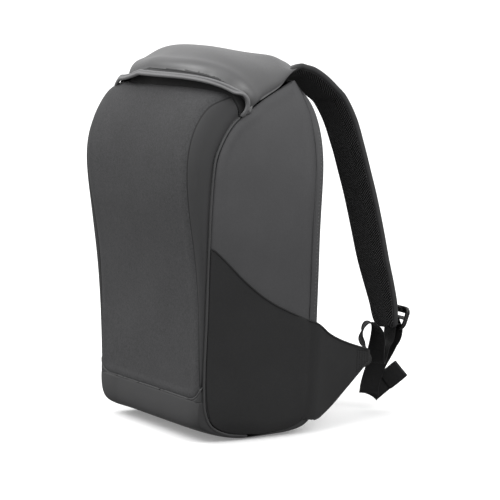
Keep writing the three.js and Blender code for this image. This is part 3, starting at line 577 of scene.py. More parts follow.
RIGHT_STRAP = [
    # back, height, width
    (0.335, 1.002, 0.98), (0.385, 0.998, 1), (0.44, 0.989, 1), (0.51, 0.967, 1), (0.578, 0.937, 1),
    (0.637, 0.906, 1), (0.703, 0.845, 1), (0.754, 0.768, 1), (0.795, 0.698, 1), (0.835, 0.628, 1),
    (0.878, 0.539, 1), (0.918, 0.45, 0.98), (0.955, 0.382, 0.93), (0.985, 0.323, 0.84), (1, 0.275, 0.72),
]
LEFT_STRAP = [
    # back, height, width
    (0.335, 1.002, 0.98), (0.385, 0.997, 1), (0.435, 0.985, 1), (0.487, 0.951, 1), (0.526, 0.907, 1),
    (0.556, 0.853, 1), (0.58, 0.774, 1), (0.602, 0.686, 1), (0.624, 0.588, 1), (0.645, 0.49, 0.98),
    (0.662, 0.401, 0.93), (0.675, 0.323, 0.84), (0.68, 0.275, 0.72),
]
RIGHT_LOAD = [
    # along, aside, up, and the way of the webbing's width
    (0.04, -0.3, 0.39, 0.08, -0.62, 0.72), (0.1, -0.38, 0.68, 0.7, -0.5, 0.35),
    (0.19, -0.36, 0.92, 0.9, -0.45, 0.1), (0.31, -0.25, 0.93, 0.9, -0.45, 0),
    (0.42, -0.11, 0.65, 0.97, -0.1, 0), (0.47, -0.1, 0.17, 0.92, 0.25, 0),
    (0.5, -0.2, -0.34, 0.9, 0.35, 0), (0.53, -0.29, -0.78, 0.8, 0.6, 0), (0.61, -0.34, -1.05, 0.8, 0.6, 0),
    (0.72, -0.34, -0.93, 0.9, 0.4, 0), (0.83, -0.26, -0.6, 1, 0.1, 0), (0.91, -0.14, -0.4, 1, 0, 0),
]
LEFT_LOAD = [
    # along, aside, up, and the way of the webbing's width
    (0.2, 0.1, -0.3, 0.7, 0.5, 0.4), (0.45, 0.1, -0.75, 0.9, 0.2, 0), (0.7, 0, -0.8, 1, 0.1, 0),
    (0.88, 0, -0.5, 1, 0, 0),
]
# The right tail's frame stands on the lock's lower bar and is turned by this angle about the vertical
HANG_TURN = 60.6
RISING = (0.62, -0.78, -0.1)
RIGHT_TAIL = [
    # along, up and ahead in millimetres, and the way of the webbing's width in the same frame
    (2.2, -9.5, -3, 0.6, -0.1, 0.8), (-5.6, -19.8, -7, 0.8, -0.25, 0.4),
    (-12.4, -32.7, -11, 0.88, -0.33, 0.1),
    (-19.2, -47, -15, 0.9, -0.35, -0.1), (-24.5, -62.3, -18, 0.9, -0.36, -0.15),
    (-27.9, -76.1, -20, 0.9, -0.36, -0.15),
    # The turn at the bottom
    (-28.7, -83, -21, 0.99, 0, -0.16), (-28.8, -86.2, -22.2, 0.98, -0.12, 0.15),
    (-28.4, -87.9, -25.1, 0.87, -0.39, 0.3), (-27, -87.5, -28.2, 0.72, -0.67, 0.19),
    # The rising stretch, and its folded end
    (-24.6, -85.6, -29.8, *RISING), (-15.3, -78.1, -31.3, *RISING), (-6.1, -70.6, -32.8, *RISING),
    (3.2, -63.1, -34.3, *RISING), (7.8, -59.4, -35, *RISING), (9.4, -58.1, -35.3, *RISING),
    (11.5, -56.7, -33.4, *RISING), (10.1, -58.1, -31, *RISING), (8.5, -59.4, -30.7, *RISING),
    (4, -63, -30, *RISING), (-2, -68, -30, *RISING), (-8.5, -73, -30.5, *RISING),
]
LEFT_TAIL = [
    # back, aside, height, and the way of the webbing's width
    (0.2, 0, 0.84, 1, 0.05, 0), (0.25, 0, 0.6, 1, 0.1, 0), (0.2, 0, 0.35, 1, 0.15, 0),
    (0.25, 0, 0.14, 1, 0.1, 0),
    (0.55, 0, 0.03, 1, 0, 0), (1.1, 0, 0.02, 1, -0.1, 0), (1.7, 0, 0.02, 1, -0.1, 0),
    (1.79, 0, 0.04, 1, -0.1, 0), (1.7, 0, 0.06, 1, -0.1, 0), (1.3, 0, 0.055, 1, -0.1, 0),
    (0.95, 0, 0.05, 1, -0.1, 0),
]
HEIGHTS = [row[0] for row in SIDE_OUTLINE]
FLIP = np.array([-1.0, 1.0, 1.0])
SIDES = [("right", 1), ("left", -1)]


def seam_point(edge, share):
    """Point of a side panel's seam, on the right, at a share of the body's height."""
    heights, *columns = np.array(SIDE_OUTLINE).T
    pair = columns[:2] if edge == "front" else columns[2:]
    wide, deep = (np.interp(share, heights, column) for column in pair)
    return np.array([wide * HALF_WIDTH, deep * HALF_DEPTH, share * BODY_HEIGHT])


def seam_out(edge, share):
    """Way out of the side panel across its seam, in the plane of the panel."""
    here = seam_point(edge, share)
    below = max((h for h in HEIGHTS if h < share - 1e-6), default=share)
    above = min((h for h in HEIGHTS if h > share + 1e-6), default=share)
    along = np.zeros(3)
    for step in (here - seam_point(edge, below), seam_point(edge, above) - here):
        step[0] = 0
        along += unit(step)
    along = unit(along)
    return np.array([0, -along[2], along[1]]) * (1 if edge == "front" else -1)


def band_edge(edge, share, room):
    return seam_point(edge, share) + seam_out(edge, share) * room


def side_point(height, across, proud=0.0):
    """Point of a side panel's outer face, on the right, at a share of the way from front to rear seam."""
    front, rear = band_edge("front", height, -SEAM_ROOM), band_edge("rear", height, -SEAM_GAP)
    fullness = min(1, (rear[1] - front[1]) / (BODY_DEPTH * FULL_DEPTH))
    point = front + (rear - front) * across
    point[0] += SIDE_BULGE * fullness * math.sin(math.pi * across) + proud
    return point


def hood_row(row, steps):
    """Points of one of the hood's front rows from the left end to the right end."""
    height, forward, rise, plan, arch, corner, sag = row
    edge = band_edge("front", height, SEAM_GAP)
    middle = edge + np.array([0, forward * HOOD_REACH, rise * HOOD_RISE])
    square = max(plan, arch)
    points = []
    for j in range(steps + 1):
        angle = math.pi * (j / steps - 0.5)
        reach = (abs(math.cos(angle)) ** square + abs(math.sin(angle)) ** square) ** (-1 / square)
        side = min(1, max(-1, math.sin(angle) * reach))
        lift = max(0, 1 - abs(side) ** arch) ** (1 / arch)
        ahead = max(0, 1 - abs(side) ** plan) ** (1 / plan)
        stand = corner * HOOD_CORNER * 4 * lift * (1 - lift) if side > 0 else 0
        hang = sag * HOOD_SAG * math.sin(-math.pi * side) if side < 0 else 0
        points.append([
            side * edge[0] + stand, edge[1] + (middle[1] - edge[1]) * ahead,
            edge[2] + (middle[2] - edge[2]) * lift - hang,
        ])
    return np.array(points)


def seam(edge, low=0.0, high=1.0, count=120):
    rows = [seam_point(edge, h) for h in HEIGHTS if low <= h <= high]
    return smooth_line(rows, count)


FRONT_SEAM, REAR_SEAM = seam("front"), seam("rear")
SEAMS = [FRONT_SEAM, FRONT_SEAM * FLIP, REAR_SEAM, REAR_SEAM * FLIP]

# The seam between front panel and base: its height, and how its lower corners are rounded
BASE_SEAM = 0.123 * BODY_HEIGHT
BASE_CORNER_WIDE = 26
BASE_CORNER_HIGH = 17
BASE_HALF = 0.893 * HALF_WIDTH


# Cloths
SLANTED, LEVEL, UPRIGHT, OVER = (1, 0.6, 0), (0, 1, 0), (0, 0, 1), (0, 1, 0.6)
HEATHER_COLOR = (0.044, 0.044, 0.0455)
BASE_COLOR = (0.034, 0.034, 0.035)
# Painted shade of the groove beside the rounded seam, at half the share of the way to it from the corner's
# centre
SEAM_PAINTED_SHADE = [(0.455, (1, 1, 1)), (0.475, (0.3,) * 3), (0.5, (0.3,) * 3), (0.505, (1, 1, 1))]


def front_cloth():
    """Heather cloth with painted shade along the rounded seam, and the smoother base cloth outside the
    rounded lower corners.
    """
    paint = Cloth("heather_cloth", HEATHER_COLOR, 0.75, SLANTED, UPRIGHT, 1.0, 0.42)
    out = paint.math("ABSOLUTE", paint.along((1, 0, 0)))
    out = paint.math("MAXIMUM", paint.math("SUBTRACT", out, BASE_HALF - BASE_CORNER_WIDE), 0)
    down = paint.math("SUBTRACT", BASE_SEAM + BASE_CORNER_HIGH, paint.along((0, 0, 1)))
    down = paint.math("MAXIMUM", down, 0)
    wide = paint.math("POWER", paint.math("DIVIDE", out, BASE_CORNER_WIDE), 2)
    high = paint.math("POWER", paint.math("DIVIDE", down, BASE_CORNER_HIGH), 2)
    reach = paint.math("MULTIPLY", paint.math("SQRT", paint.math("ADD", wide, high)), 0.5)
    outside = paint.ramp(reach, [(0.49, (0, 0, 0)), (0.51, (1, 1, 1))])
    # A dark line along the rounded seam: painted shade of the groove there
    line = paint.ramp(reach, SEAM_PAINTED_SHADE)
    paint.dye(paint.times(paint.mix(outside, paint.shade, (*BASE_COLOR, 1)), line))
    return paint.material


def cloth(name, *values):
    return Cloth(name, *values).material


HEATHER = front_cloth()
# Colour, roughness, ways across and along the weave, its pitch, grain, sheen, relief and specular level
SATIN = cloth("hood_cloth", (0.048, 0.048, 0.0495), 0.38, SLANTED, OVER, 0.8, 0.08, 0.0, 0.05, 0.85)
# A darker, matt band of the hood's cloth beside the lip: its darker colour is painted shade of the hollow
# there
LIP_SHADE_CLOTH = cloth("lip_painted_shade_cloth", (0.03, 0.03, 0.031), 0.5, SLANTED, OVER, 0.8, 0.08, 0.0, 0.05, 0.3)
SIDE = cloth("side_cloth", (0.05, 0.05, 0.052), 0.6, LEVEL, UPRIGHT, 0.8, 0.12, 0.0, 0.05, 0.35)
BASE = cloth("base_cloth", BASE_COLOR, 0.55, SLANTED, UPRIGHT, 0.8, 0.1, 0.0, 0.05, 0.35)
STRETCH = cloth("stretch_cloth", (0.019, 0.019, 0.0195), 0.8, LEVEL, UPRIGHT, 0.7, 0.15, 0.05, 0.05, 0.25)
BEAD = cloth("piping_cloth", (0.04, 0.04, 0.041), 0.5, SLANTED, UPRIGHT, 0.8, 0.1, 0.1, 0.05, 0.4)
RIM = cloth("lip_cloth", (0.13, 0.13, 0.133), 0.45, SLANTED, UPRIGHT, 0.8, 0.1, 0.1, 0.05, 0.5)
BAND = cloth("strap_cloth", (0.036, 0.036, 0.037), 0.5, SLANTED, UPRIGHT, 0.8, 0.12, 0.0, 0.06, 0.25)

# Spacer mesh: pitch and slant of its ribs, place of the spine where they meet, and pitch of its threads
RIB_PITCH, RIB_SLANT, RIB_SPINE, MESH_PITCH = 3.1, 0.8, 10.0, 1.3
# Colour from the grooves to the tops of the ribs: painted shade in the grooves, painted highlight on the ribs
RIB_PAINTED_LIGHT = [(0.4, (0.0015, 0.0015, 0.0015)), (0.8, (0.1, 0.1, 0.102))]


def mesh_cloth(name, attribute):
    """Spacer mesh in a herringbone of raised slanting ribs, with painted highlights on the ribs and painted
    shade in the grooves between them.
    """
    paint = Paint(name, (0.006, 0.006, 0.0062), 0.75, sheen=0.05, specular=0.15)
    place = paint.attribute("cloth") if attribute else paint.place
    up = (0, 1, 0) if attribute else (0, 0, 1)
    aside = paint.along((1, 0, 0), place)
    across = paint.math("ABSOLUTE", paint.math("SUBTRACT", aside, RIB_SPINE))
    slanted = paint.math("ADD", paint.along(up, place), paint.math("MULTIPLY", across, RIB_SLANT))
    rib = paint.upward(paint.wave(slanted, RIB_PITCH))
    thread = paint.upward(paint.wave(aside, MESH_PITCH))
    # The ribs' painted highlight and shade
    paint.dye(paint.ramp(rib, RIB_PAINTED_LIGHT))
    paint.bump(rib, 1.0)
    paint.bump(paint.math("MULTIPLY", rib, thread), 0.25)
    return paint.material


def webbing_cloth():
    """Ribbed black webbing with a firm selvedge."""
    paint = Paint("webbing_cloth", (0.0075, 0.0075, 0.008), 0.6, sheen=0.05, specular=0.2)
    place = paint.attribute("cloth")
    rib = paint.weave(paint.along((1, 0, 0), place), paint.along((0, 1, 0), place), 1.4)
    paint.dye(paint.tint(paint.noise(2.2, 2), 0.7, 1.4))
    paint.bump(rib, 0.3)
    paint.bump(paint.noise(9, 1), 0.5, 0.4)
    return paint.material


def lock_plastic():
    """Black plastic, a little duller in places."""
    paint = Paint("lock_plastic", (0.006, 0.006, 0.006), 0.22, specular=0.45)
    rough = paint.ramp(paint.noise(6, 3), [(0.3, (0.18,) * 3), (0.7, (0.3,) * 3)])
    paint.join(rough, paint.shader.inputs["Roughness"])
    paint.bump(paint.noise(1.5, 2), 0.03)
    paint.dye(paint.tint(paint.noise(12, 2), 0.8, 1.2))
    return paint.material


def thread(name, color):
    paint = Paint(name, color, 0.6, specular=0.3)
    paint.dye(paint.tint(paint.noise(0.9, 2), 0.8, 1.2))
    paint.bump(paint.noise(0.5, 1), 0.05)
    return paint.material


MESH = mesh_cloth("mesh_cloth", True)
BACK_MESH = mesh_cloth("back_mesh_cloth", False)
WEBBING = webbing_cloth()
PLASTIC = lock_plastic()
GREY_THREAD = thread("grey_thread", (0.12, 0.12, 0.122))
DARK_THREAD = thread("dark_thread", (0.008, 0.008, 0.008))

make_camera()
make_stage()


# Sewn panels
CORE_BACK, CORE_LOW, CORE_HIGH = 20, 70, 330
# Where the left front corner stands out: height, reach up and down, and swell
LEFT_FULL = [(335, 60, 3.2), (35, 60, 2.8)]
LEFT_FULL_FROM, LEFT_FULL_TO = -80, -120
# The base's underside stays flat up to this height
UNDERSIDE = 6


def grooves(points, normals, lines, depth, width, puff=0.0, puff_place=9.0):
    """Pulls cloth in beside the sewn lines and lets it stand a little proud further out."""
    gap = np.minimum.reduce([distance_to(points, line) for line in lines])
    swell = puff * bell(gap, puff_place, puff_place * 0.6) - depth * bell(gap, 0, width)
    return points + normals * swell[:, None]


def bag_core(points, node):
    """The place inside the bag that each point of a wall is moved away from."""
    if "side" in node:
        return points * np.array([0, 1, 1])
    core = points * np.array([0.6, 0, 0]) + np.array([0, CORE_BACK, 0])
    core[:, 2] = np.clip(points[:, 2], CORE_LOW, CORE_HIGH)
    return core


def panel(node, name, materials, slot, shape, fill=None, cuts=(), band=None):
    """A panel's smooth copy. shape moves both faces of its wall together, along the ways out of the bag."""
    mesh = soft_copy(node, cuts, band)
    points, normals = read_points(mesh)
    away = points - bag_core(points, node)
    away /= np.maximum(np.linalg.norm(away, axis=1), 1e-9)[:, None]
    facing = np.clip(3 * (normals * away).sum(axis=1), -1, 1)
    write_points(mesh, shape(points, normals * facing[:, None]))
    kinds = [0] * len(mesh.polygons)
    if band is not None:
        mesh.polygons.foreach_get("material_index", kinds)
    mesh.materials.clear()
    piece = new_object(name, mesh, materials)
    mesh.polygons.foreach_set("material_index", kinds)
    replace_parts(piece, node)
    return piece


def fuller_left(points, normals):
    """The left front corner stands out a little more near the shoulder and near the base."""
    left = np.clip((points[:, 0] - LEFT_FULL_FROM) / (LEFT_FULL_TO - LEFT_FULL_FROM), 0, 1)
    swell = sum(size * bell(points[:, 2], height, reach) for height, reach, size in LEFT_FULL)
    return points + normals * (left * swell)[:, None]


def front_shape(points, normals):
    """Rounded corners and a pulled in line along the seam with the base."""
    points = grooves(points, normals, SEAMS[:2], depth=1.6, width=3.0, puff=0.9)
    points = fuller_left(points, normals)
    wide = np.maximum(np.abs(points[:, 0]) - (BASE_HALF - BASE_CORNER_WIDE), 0) / BASE_CORNER_WIDE
    high = np.maximum(BASE_SEAM + BASE_CORNER_HIGH - points[:, 2], 0) / BASE_CORNER_HIGH
    gap = (1 - np.hypot(wide, high)) * BASE_CORNER_HIGH
    pull = 1.2 * bell(gap, 0.8, 1.5) - 0.7 * bell(gap, 7, 4)
    return points + normals * (0.8 * waves(points, size=90, seed=3) - pull)[:, None]


def base_shape(points, normals):
    """The front edge is as full as the front panel, and the underside stays flat."""
    moved = fuller_left(points, normals)
    moved[:, 2] = np.where(points[:, 2] < UNDERSIDE, points[:, 2], moved[:, 2])
    return moved


def side_shape(points, normals):
    points = grooves(points, normals, SEAMS, depth=1.1, width=2.6, puff=0.8)
    return points + normals * (0.9 * waves(points, size=80, seed=11))[:, None]


# The hood's left front corner hangs down over the shoulder of the front panel
DRAPE_DOWN = 17
DRAPE_AHEAD = 5
DRAPE_START = -62
DRAPE_END = -118
DRAPE_BACK, DRAPE_FADE = 20, 60


def drape_left(points):
    share = np.clip((points[:, 0] - DRAPE_START) / (DRAPE_END - DRAPE_START), 0, 1)
    share = share * share * (3 - 2 * share) * np.clip((DRAPE_BACK - points[:, 1]) / DRAPE_FADE, 0, 1)
    return points - share[:, None] * np.array([0, DRAPE_AHEAD, DRAPE_DOWN])


def hood_shape(points, normals):
    """A hollow runs beside the lip, and the cloth is pulled in over the side seams."""
    points = grooves(points, normals, SEAMS[:2], depth=0.8, width=3.0, puff=0.4)
    gap = distance_to(points, HOOD_EDGE)
    swell = 2.0 * bell(gap, place=23, width=8) - 5.0 * bell(gap, place=8, width=5.5)
    return drape_left(points + normals * (swell + 0.8 * waves(points, size=70, seed=23))[:, None])


def back_shape(points, normals):
    points = grooves(points, normals, SEAMS[2:], depth=1.0, width=2.6, puff=0.6)
    return points + normals * (0.8 * waves(points, size=80, seed=31))[:, None]


def pocket_shape(points, normals):
    """Stretched cloth that is drawn in where it leaves the body at the rear seam."""
    points = grooves(points, normals, SEAMS[2:], depth=1.2, width=4.0, puff=0.5, puff_place=12)
    return points + normals * (0.7 * waves(points, size=55, seed=41))[:, None]


HOOD_STEPS = 96
HOOD_EDGE = hood_row(HOOD_FRONT[0], HOOD_STEPS)
HOOD_BEHIND = hood_row(HOOD_FRONT[1], HOOD_STEPS)
# How far from the lip the band of painted shade reaches, in millimetres
LIP_SHADE_REACH = 11
BACK_BAND = 95
FRONT_CUTS = [BASE_SEAM + rise for rise in (2.5, 6, 11, 17, 26)]
FILL = 0.7
FRONT = panel("front_panel", "front_panel_cloth", [HEATHER], "heather", front_shape, FILL, FRONT_CUTS)
HOOD = panel("hood", "hood_cloth", [SATIN, LIP_SHADE_CLOTH], "satin", hood_shape, FILL)
# The band beside the lip is matt, and its darker colour is painted shade of the hollow there
near_lip = distance_to(read_points(HOOD.data)[0], drape_left(HOOD_EDGE))
for face in HOOD.data.polygons:
    face.material_index = int(max(near_lip[list(face.vertices)]) < LIP_SHADE_REACH)
panel("base", "base_cloth", [BASE], "base_cloth", base_shape)
BACK = panel("back_panel", "back_panel_cloth", [BACK_MESH, SIDE], "mesh", back_shape, FILL, band=BACK_BAND)
POCKETS = {}
for name, side in SIDES:
    panel(f"side_panel_{name}", f"side_panel_cloth_{name}", [SIDE], "side_cloth", side_shape)
    pocket = f"side_pocket_{name}", f"side_pocket_cloth_{name}"
    POCKETS[name] = panel(*pocket, [STRETCH], "stretch", pocket_shape)


# Seams, piping, hems and threads
LIP_TURN = 140
LIP_STITCHES = 0.3
LIP_STEPS = 13
CORNER_STEPS = 13
SEAM_CORD_RADIUS = 1.15
HEM_RADIUS = 1.25
# The sheet that closes the gap under the lip, in the darkest cloth as painted shade of that gap
GAP_SHEET_WALL = 1
GAP_SHEET_TUCK = 3
GAP_SHEET_INWARD = np.array([0, 9, -12])
GAP_SHEET_UPPER = np.array([0, 3, -HOOD_WALL - 1.5])
GAP_SHEET_REACH = np.array([0, 4, -10])
GAP_SHEET_LOWER = np.array([0, 1, -0.8])
# The rear seam's stitches: lowest and highest share of the body's height, and how far behind the seam
REAR_STITCHES = (0.3, 0.86)
REAR_STITCH_BACK = 5.5
# The stitched box at the wing's tip: its rows, at shares of the wing's reach, and their ends
TIP_ROWS = (0.8, 0.84, 0.88, 0.92, 0.96)
TIP_ENDS = (0.12, 0.88)


def hood_lip():
    """Two round ridges with a groove between them, hung along the hood's front edge."""
    edge, behind = drape_left(HOOD_EDGE), drape_left(HOOD_BEHIND)
    lobe_wide, lobe_deep = LIP_HEIGHT / 4, LIP_THICKNESS / 2
    section = []
    for sign in (1, -1):
        start = 0 if sign > 0 else 180
        for angle in np.linspace(start - LIP_TURN, start + LIP_TURN, LIP_STEPS):
            turn = math.radians(angle)
            section.append((sign * lobe_wide + lobe_wide * math.cos(turn), lobe_deep * math.sin(turn)))
    rings = []
    for j, point in enumerate(edge):
        along = unit(way_along(edge, j))
        down = point - behind[j]
        down[0] *= LIP_FLARE
        down = unit(down - along * (down @ along))
        out = unit(np.cross(along, down))
        centre = point + down * (SEAM_GAP + LIP_HEIGHT / 2) - out * HOOD_WALL / 2
        rings.append([centre + down * wide + out * deep for wide, deep in section])
    piece = loft("hood_lip_cloth", rings, [RIM])
    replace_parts(piece, "hood_lip")
    return edge + (behind - edge) * LIP_STITCHES


def base_seam_line():
    """The rounded line along which the front panel is sewn to the base."""
    centre = BASE_HALF - BASE_CORNER_WIDE
    points = []
    for sign, start in ((-1, 180), (1, 270)):
        for angle in np.linspace(start, start + 90, CORNER_STEPS):
            turn = math.radians(angle)
            x = sign * centre + BASE_CORNER_WIDE * math.cos(turn)
            z = BASE_SEAM + BASE_CORNER_HIGH * (1 + math.sin(turn))
            points.append(np.array([x, 0, z + 1.0]))
    return evenly_along(points, 3)


def base_seam():
    """A thin cord laid on the front panel along that line."""
    surface = surface_of(FRONT)
    places, ways = [], []
    for x, _, z in base_seam_line():
        place, way, *_ = surface.ray_cast(Vector((x, -400, z)), Vector((0, 1, 0)))
        if place is not None:
            places.append(np.array(place))
            ways.append(np.array(way))
    line = [place - way * 0.1 for place, way in zip(places, ways)]
    bead("base_seam_cord", line, SEAM_CORD_RADIUS, BEAD, ways)


def hood_gap_painted_shade():
    """A sheet that closes the gap between the hood's front edge and the top of the front panel, in the
    darkest cloth as painted shade of that gap.
    """
    surface = surface_of(FRONT)
    edge, behind = drape_left(HOOD_EDGE)[4:-4], drape_left(HOOD_BEHIND)[4:-4]
    rings = []
    for j, point in enumerate(edge):
        along = unit(way_along(edge, j))
        inward = unit(behind[j] - point + GAP_SHEET_INWARD)
        upper = behind[j] + GAP_SHEET_UPPER
        lower = np.array(surface.find_nearest(Vector(point + GAP_SHEET_REACH))[0]) + GAP_SHEET_LOWER
        middle = (upper + lower) / 2 + inward * GAP_SHEET_TUCK
        deep = unit(np.cross(along, lower - upper)) * GAP_SHEET_WALL / 2
        front = [upper, middle, lower]
        rings.append([place + deep for place in front] + [place - deep for place in reversed(front)])
    # The darkest cloth, as painted shade of the gap under the lip
    loft("hood_gap_painted_shade", rings, [STRETCH])


hood_gap_painted_shade()
LIP_LINE = hood_lip()
base_seam()
hood_surface = surface_of(HOOD)
back_surface = surface_of(BACK)
stitches("hood_lip_stitches", [LIP_LINE], hood_surface, DARK_THREAD)
for side_name, side in SIDES:
    flip = np.array([side, 1, 1])
    low_front = seam("front", 0, HOOD_FRONT[0][0], 140)
    cord = bead(f"seam_bead_{side_name}", low_front * flip, PIPING_RADIUS, BEAD)
    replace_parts(cord, f"seam_piping_{side_name}")
    rear = seam("rear", *REAR_STITCHES, 80) * flip + np.array([0, REAR_STITCH_BACK, 0])
    name = f"rear_seam_stitches_{side_name}"
    stitches(name, [rear], back_surface, GREY_THREAD, pitch=4.5, length=2.2, radius=0.4)
    pocket_surface = surface_of(POCKETS[side_name])
    proud = POCKET_WALL + POCKET_GAP
    top = [side_point(height * WING_HEIGHT / BODY_HEIGHT, across, proud) for across, height in POCKET_TOP]
    rear_place = seam_point("rear", WING_HEIGHT / BODY_HEIGHT)[1]
    lower = []
    for back, low_half, high_half, low, high in WING:
        top.append(np.array([high_half * HALF_WIDTH, rear_place + back * WING_REACH, high * WING_HEIGHT]))
        lower.append(np.array([low_half * HALF_WIDTH, rear_place + back * WING_REACH, low * WING_HEIGHT]))
    for edge_name, line in (("top", top), ("lower", lower)):
        places, ways = on_surface(pocket_surface, smooth_line(line, 120) * flip)
        hem = smooth_line(places[::4], 120)
        bead(f"pocket_{edge_name}_hem_{side_name}", hem, HEM_RADIUS, STRETCH)
    tip = []
    for back in TIP_ROWS:
        row = [np.interp(back, [r[0] for r in WING], [r[k] for r in WING]) for k in range(5)]
        ends = [np.array([
            (row[1] + (row[2] - row[1]) * share) * HALF_WIDTH + POCKET_WALL, rear_place + back * WING_REACH,
            (row[3] + (row[4] - row[3]) * share) * WING_HEIGHT,
        ]) * flip for share in TIP_ENDS]
        tip.append(ends)
    across = [[tip[0][k], tip[-1][k]] for k in (0, 1)]
    name = f"wing_tip_stitches_{side_name}"
    stitches(name, tip + across, pocket_surface, DARK_THREAD, pitch=2.6, length=2.3, radius=0.45)


# Straps, webbing and locks
def strap_point(row, side):
    """Place of a strap table's row on the face away from the back."""
    back, height, _ = row
    fall = (1 - height) * STRAP_DROP
    return np.array([side * STRAP_OFFSET, back * STRAP_SWING, BODY_HEIGHT + STRAP_RISE - fall])


def lock_bar(table, side, way):
    """Middle of a lock's top bar (way 1) or bottom bar (way -1)."""
    tilt = math.radians(LOCK_TILT)
    reach = way * (LOCK_HEIGHT - LOCK_BAR) / 2
    middle = strap_point(table[-1], side) + np.array([0, LOCK_STAND, 0])
    return middle + np.array([0, math.sin(tilt) * reach, math.cos(tilt) * reach])


WRAP_RADIUS = math.hypot(LOCK_THICKNESS, LOCK_BAR) / 2 + 3 * SEAM_GAP + WEBBING_THICKNESS / 2


def wrap_round(bar, start, stop):
    angles = np.radians(np.linspace(start, stop, 5))
    return [bar + WRAP_RADIUS * np.array([0, math.cos(angle), math.sin(angle)]) for angle in angles]


# Half of a padded strap's section: share of the half width, and share of the half thickness
STRAP_SECTION = [
    (-1, 0), (-1.0, 0.25), (-0.985, 0.5), (-0.95, 0.68), (-0.9, 0.76), (-0.86, 0.7), (-0.8, 0.8),
    (-0.68, 0.93),
    (-0.5, 0.98), (-0.25, 1), (0, 1), (0.25, 1), (0.5, 0.98), (0.68, 0.93), (0.8, 0.8), (0.86, 0.7),
    (0.9, 0.76), (0.95, 0.68), (0.985, 0.5), (1.0, 0.25), (1, 0),
]
MESH_SHARE = 0.87
STRAP_STEPS = 220
# The last share of a strap's length, over which it is narrowed and thinned to these shares
STRAP_TAPER, STRAP_NARROW, STRAP_THIN = 0.02, 0.86, 0.75
# How far a strap's inner edge is turned towards the back panel, at heights of the strap
STRAP_TURN = [(0.25, 4), (0.4, 5), (0.75, 6), (0.9, 9), (0.96, 13), (1.0, 14)]
STRAP_LEAD = (0.25, 0.985, 0.96)
# The narrowed end of the right strap, a little past its table's last row
STRAP_END = (1.013, 0.26, 0.5)


def shoulder_strap(name, table, side):
    """The inner face is mesh, and the outer face and the edges are cloth."""
    table = [STRAP_LEAD] + table + ([STRAP_END] if side > 0 else [])
    rows = [strap_point(row, 1) for row in table]
    widths = [(row[2], 0, 0) for row in table]
    section = [(s, t, 1) for s, t in STRAP_SECTION]
    section += [(s, t, -1) for s, t in reversed(STRAP_SECTION[1:-1])]
    rings, cloth, edges = [], [], {-1: [], 1: []}
    shares = np.linspace(0, 1, STRAP_STEPS + 1)
    centres = [cubic(rows, share) for share in shares]
    for share, place, run in zip(shares, centres, runs(centres)):
        along = cubic_slope(rows, share)
        out = np.array([0, -along[2], along[1]])
        width = cubic(widths, share)[0] * STRAP_WIDTH / 2
        end = math.sqrt(min(1, (1 - share) / STRAP_TAPER))
        width *= STRAP_NARROW + (1 - STRAP_NARROW) * end
        centre = place - out * STRAP_THICKNESS / 2
        centre[0] = side * STRAP_OFFSET
        height = 1 - (BODY_HEIGHT + STRAP_RISE - place[2]) / STRAP_DROP
        turn = np.interp(height, [row[0] for row in STRAP_TURN], [row[1] for row in STRAP_TURN])
        half = STRAP_THICKNESS / 2 * (STRAP_THIN + (1 - STRAP_THIN) * end)
        rings.append([
            centre + np.array([s * width, 0, 0]) + out * (face * t * half - turn * (1 - s * side) / 2)
            for s, t, face in section
        ])
        cloth.append([(s * width * side, run) for s, t, face in section])
        for way in edges:
            inward = half + turn * (1 - MESH_SHARE * way * side) / 2
            edges[way].append(centre + np.array([way * MESH_SHARE * width, 0, 0]) - out * inward)
    count = len(section)

    def kind(i, j):
        s = (section[j][0] + section[(j + 1) % count][0]) / 2
        inner = section[j][2] < 0 or section[(j + 1) % count][2] < 0
        return 1 if inner and abs(s) < MESH_SHARE else 0

    piece = loft(name, rings, [BAND, MESH], cloth, kind)
    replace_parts(piece, name.replace("_padded", ""))
    surface = surface_of(piece)
    lines = [np.array(line[8:-4]) for line in edges.values()]
    stitches(f"{name}_stitches", lines, surface, GREY_THREAD, pitch=3.4, length=2.0, radius=0.45)


# Half of the webbing's section, with a firm selvedge: share of the half width, and of the half thickness
WEBBING_SECTION = [
    (-1, 0), (-0.985, 0.7), (-0.93, 1), (-0.86, 0.75), (-0.5, 0.75), (0, 0.75), (0.5, 0.75), (0.86, 0.75),
    (0.93, 1), (0.985, 0.7), (1, 0),
]
# Rings of a ribbon for each place it passes, rings of a tab, and how many rings a twist is spread over
RIBBON_STEPS, TAB_STEPS, TWIST_REACH = 12, 60, 14


def ribbon_section():
    half, thin = WEBBING_WIDTH / 2, WEBBING_THICKNESS / 2
    top = [(half * across, thin * deep) for across, deep in WEBBING_SECTION]
    return top + [(s, -t) for s, t in reversed(top[1:-1])]


def soften(values, reach):
    """Each value replaced by a weighted mean of its neighbours in the list."""
    values = np.asarray(values, float)
    steps = np.arange(-reach, reach + 1)
    weights = np.exp(-((steps / (reach / 2)) ** 2))
    ends = np.repeat(values[:1], reach, 0), np.repeat(values[-1:], reach, 0)
    padded = np.concatenate([ends[0], values, ends[1]])
    starts = reach + steps
    total = sum(weight * padded[start:start + len(values)] for weight, start in zip(weights, starts))
    return total / weights.sum()


def ribbon(name, node, places, widths, steps):
    """Webbing through the places, with the ways of its width there."""
    section = ribbon_section()
    rings, cloth = [], []
    shares = np.linspace(0, 1, steps + 1)
    centres = [cubic(places, share) for share in shares]
    slopes = [cubic_slope(places, share) for share in shares]
    across = [cubic(widths, share) for share in shares]
    across = [unit(wide - along * (wide @ along)) for wide, along in zip(across, slopes)]
    across = soften(across, TWIST_REACH)
    for place, along, wide, run in zip(centres, slopes, across, runs(centres)):
        wide = unit(wide - along * (wide @ along))
        deep = np.cross(along, wide)
        rings.append([place + wide * s + deep * t for s, t in section])
        cloth.append([(s, run) for s, t in section])
    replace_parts(loft(name, rings, [WEBBING], cloth), node)


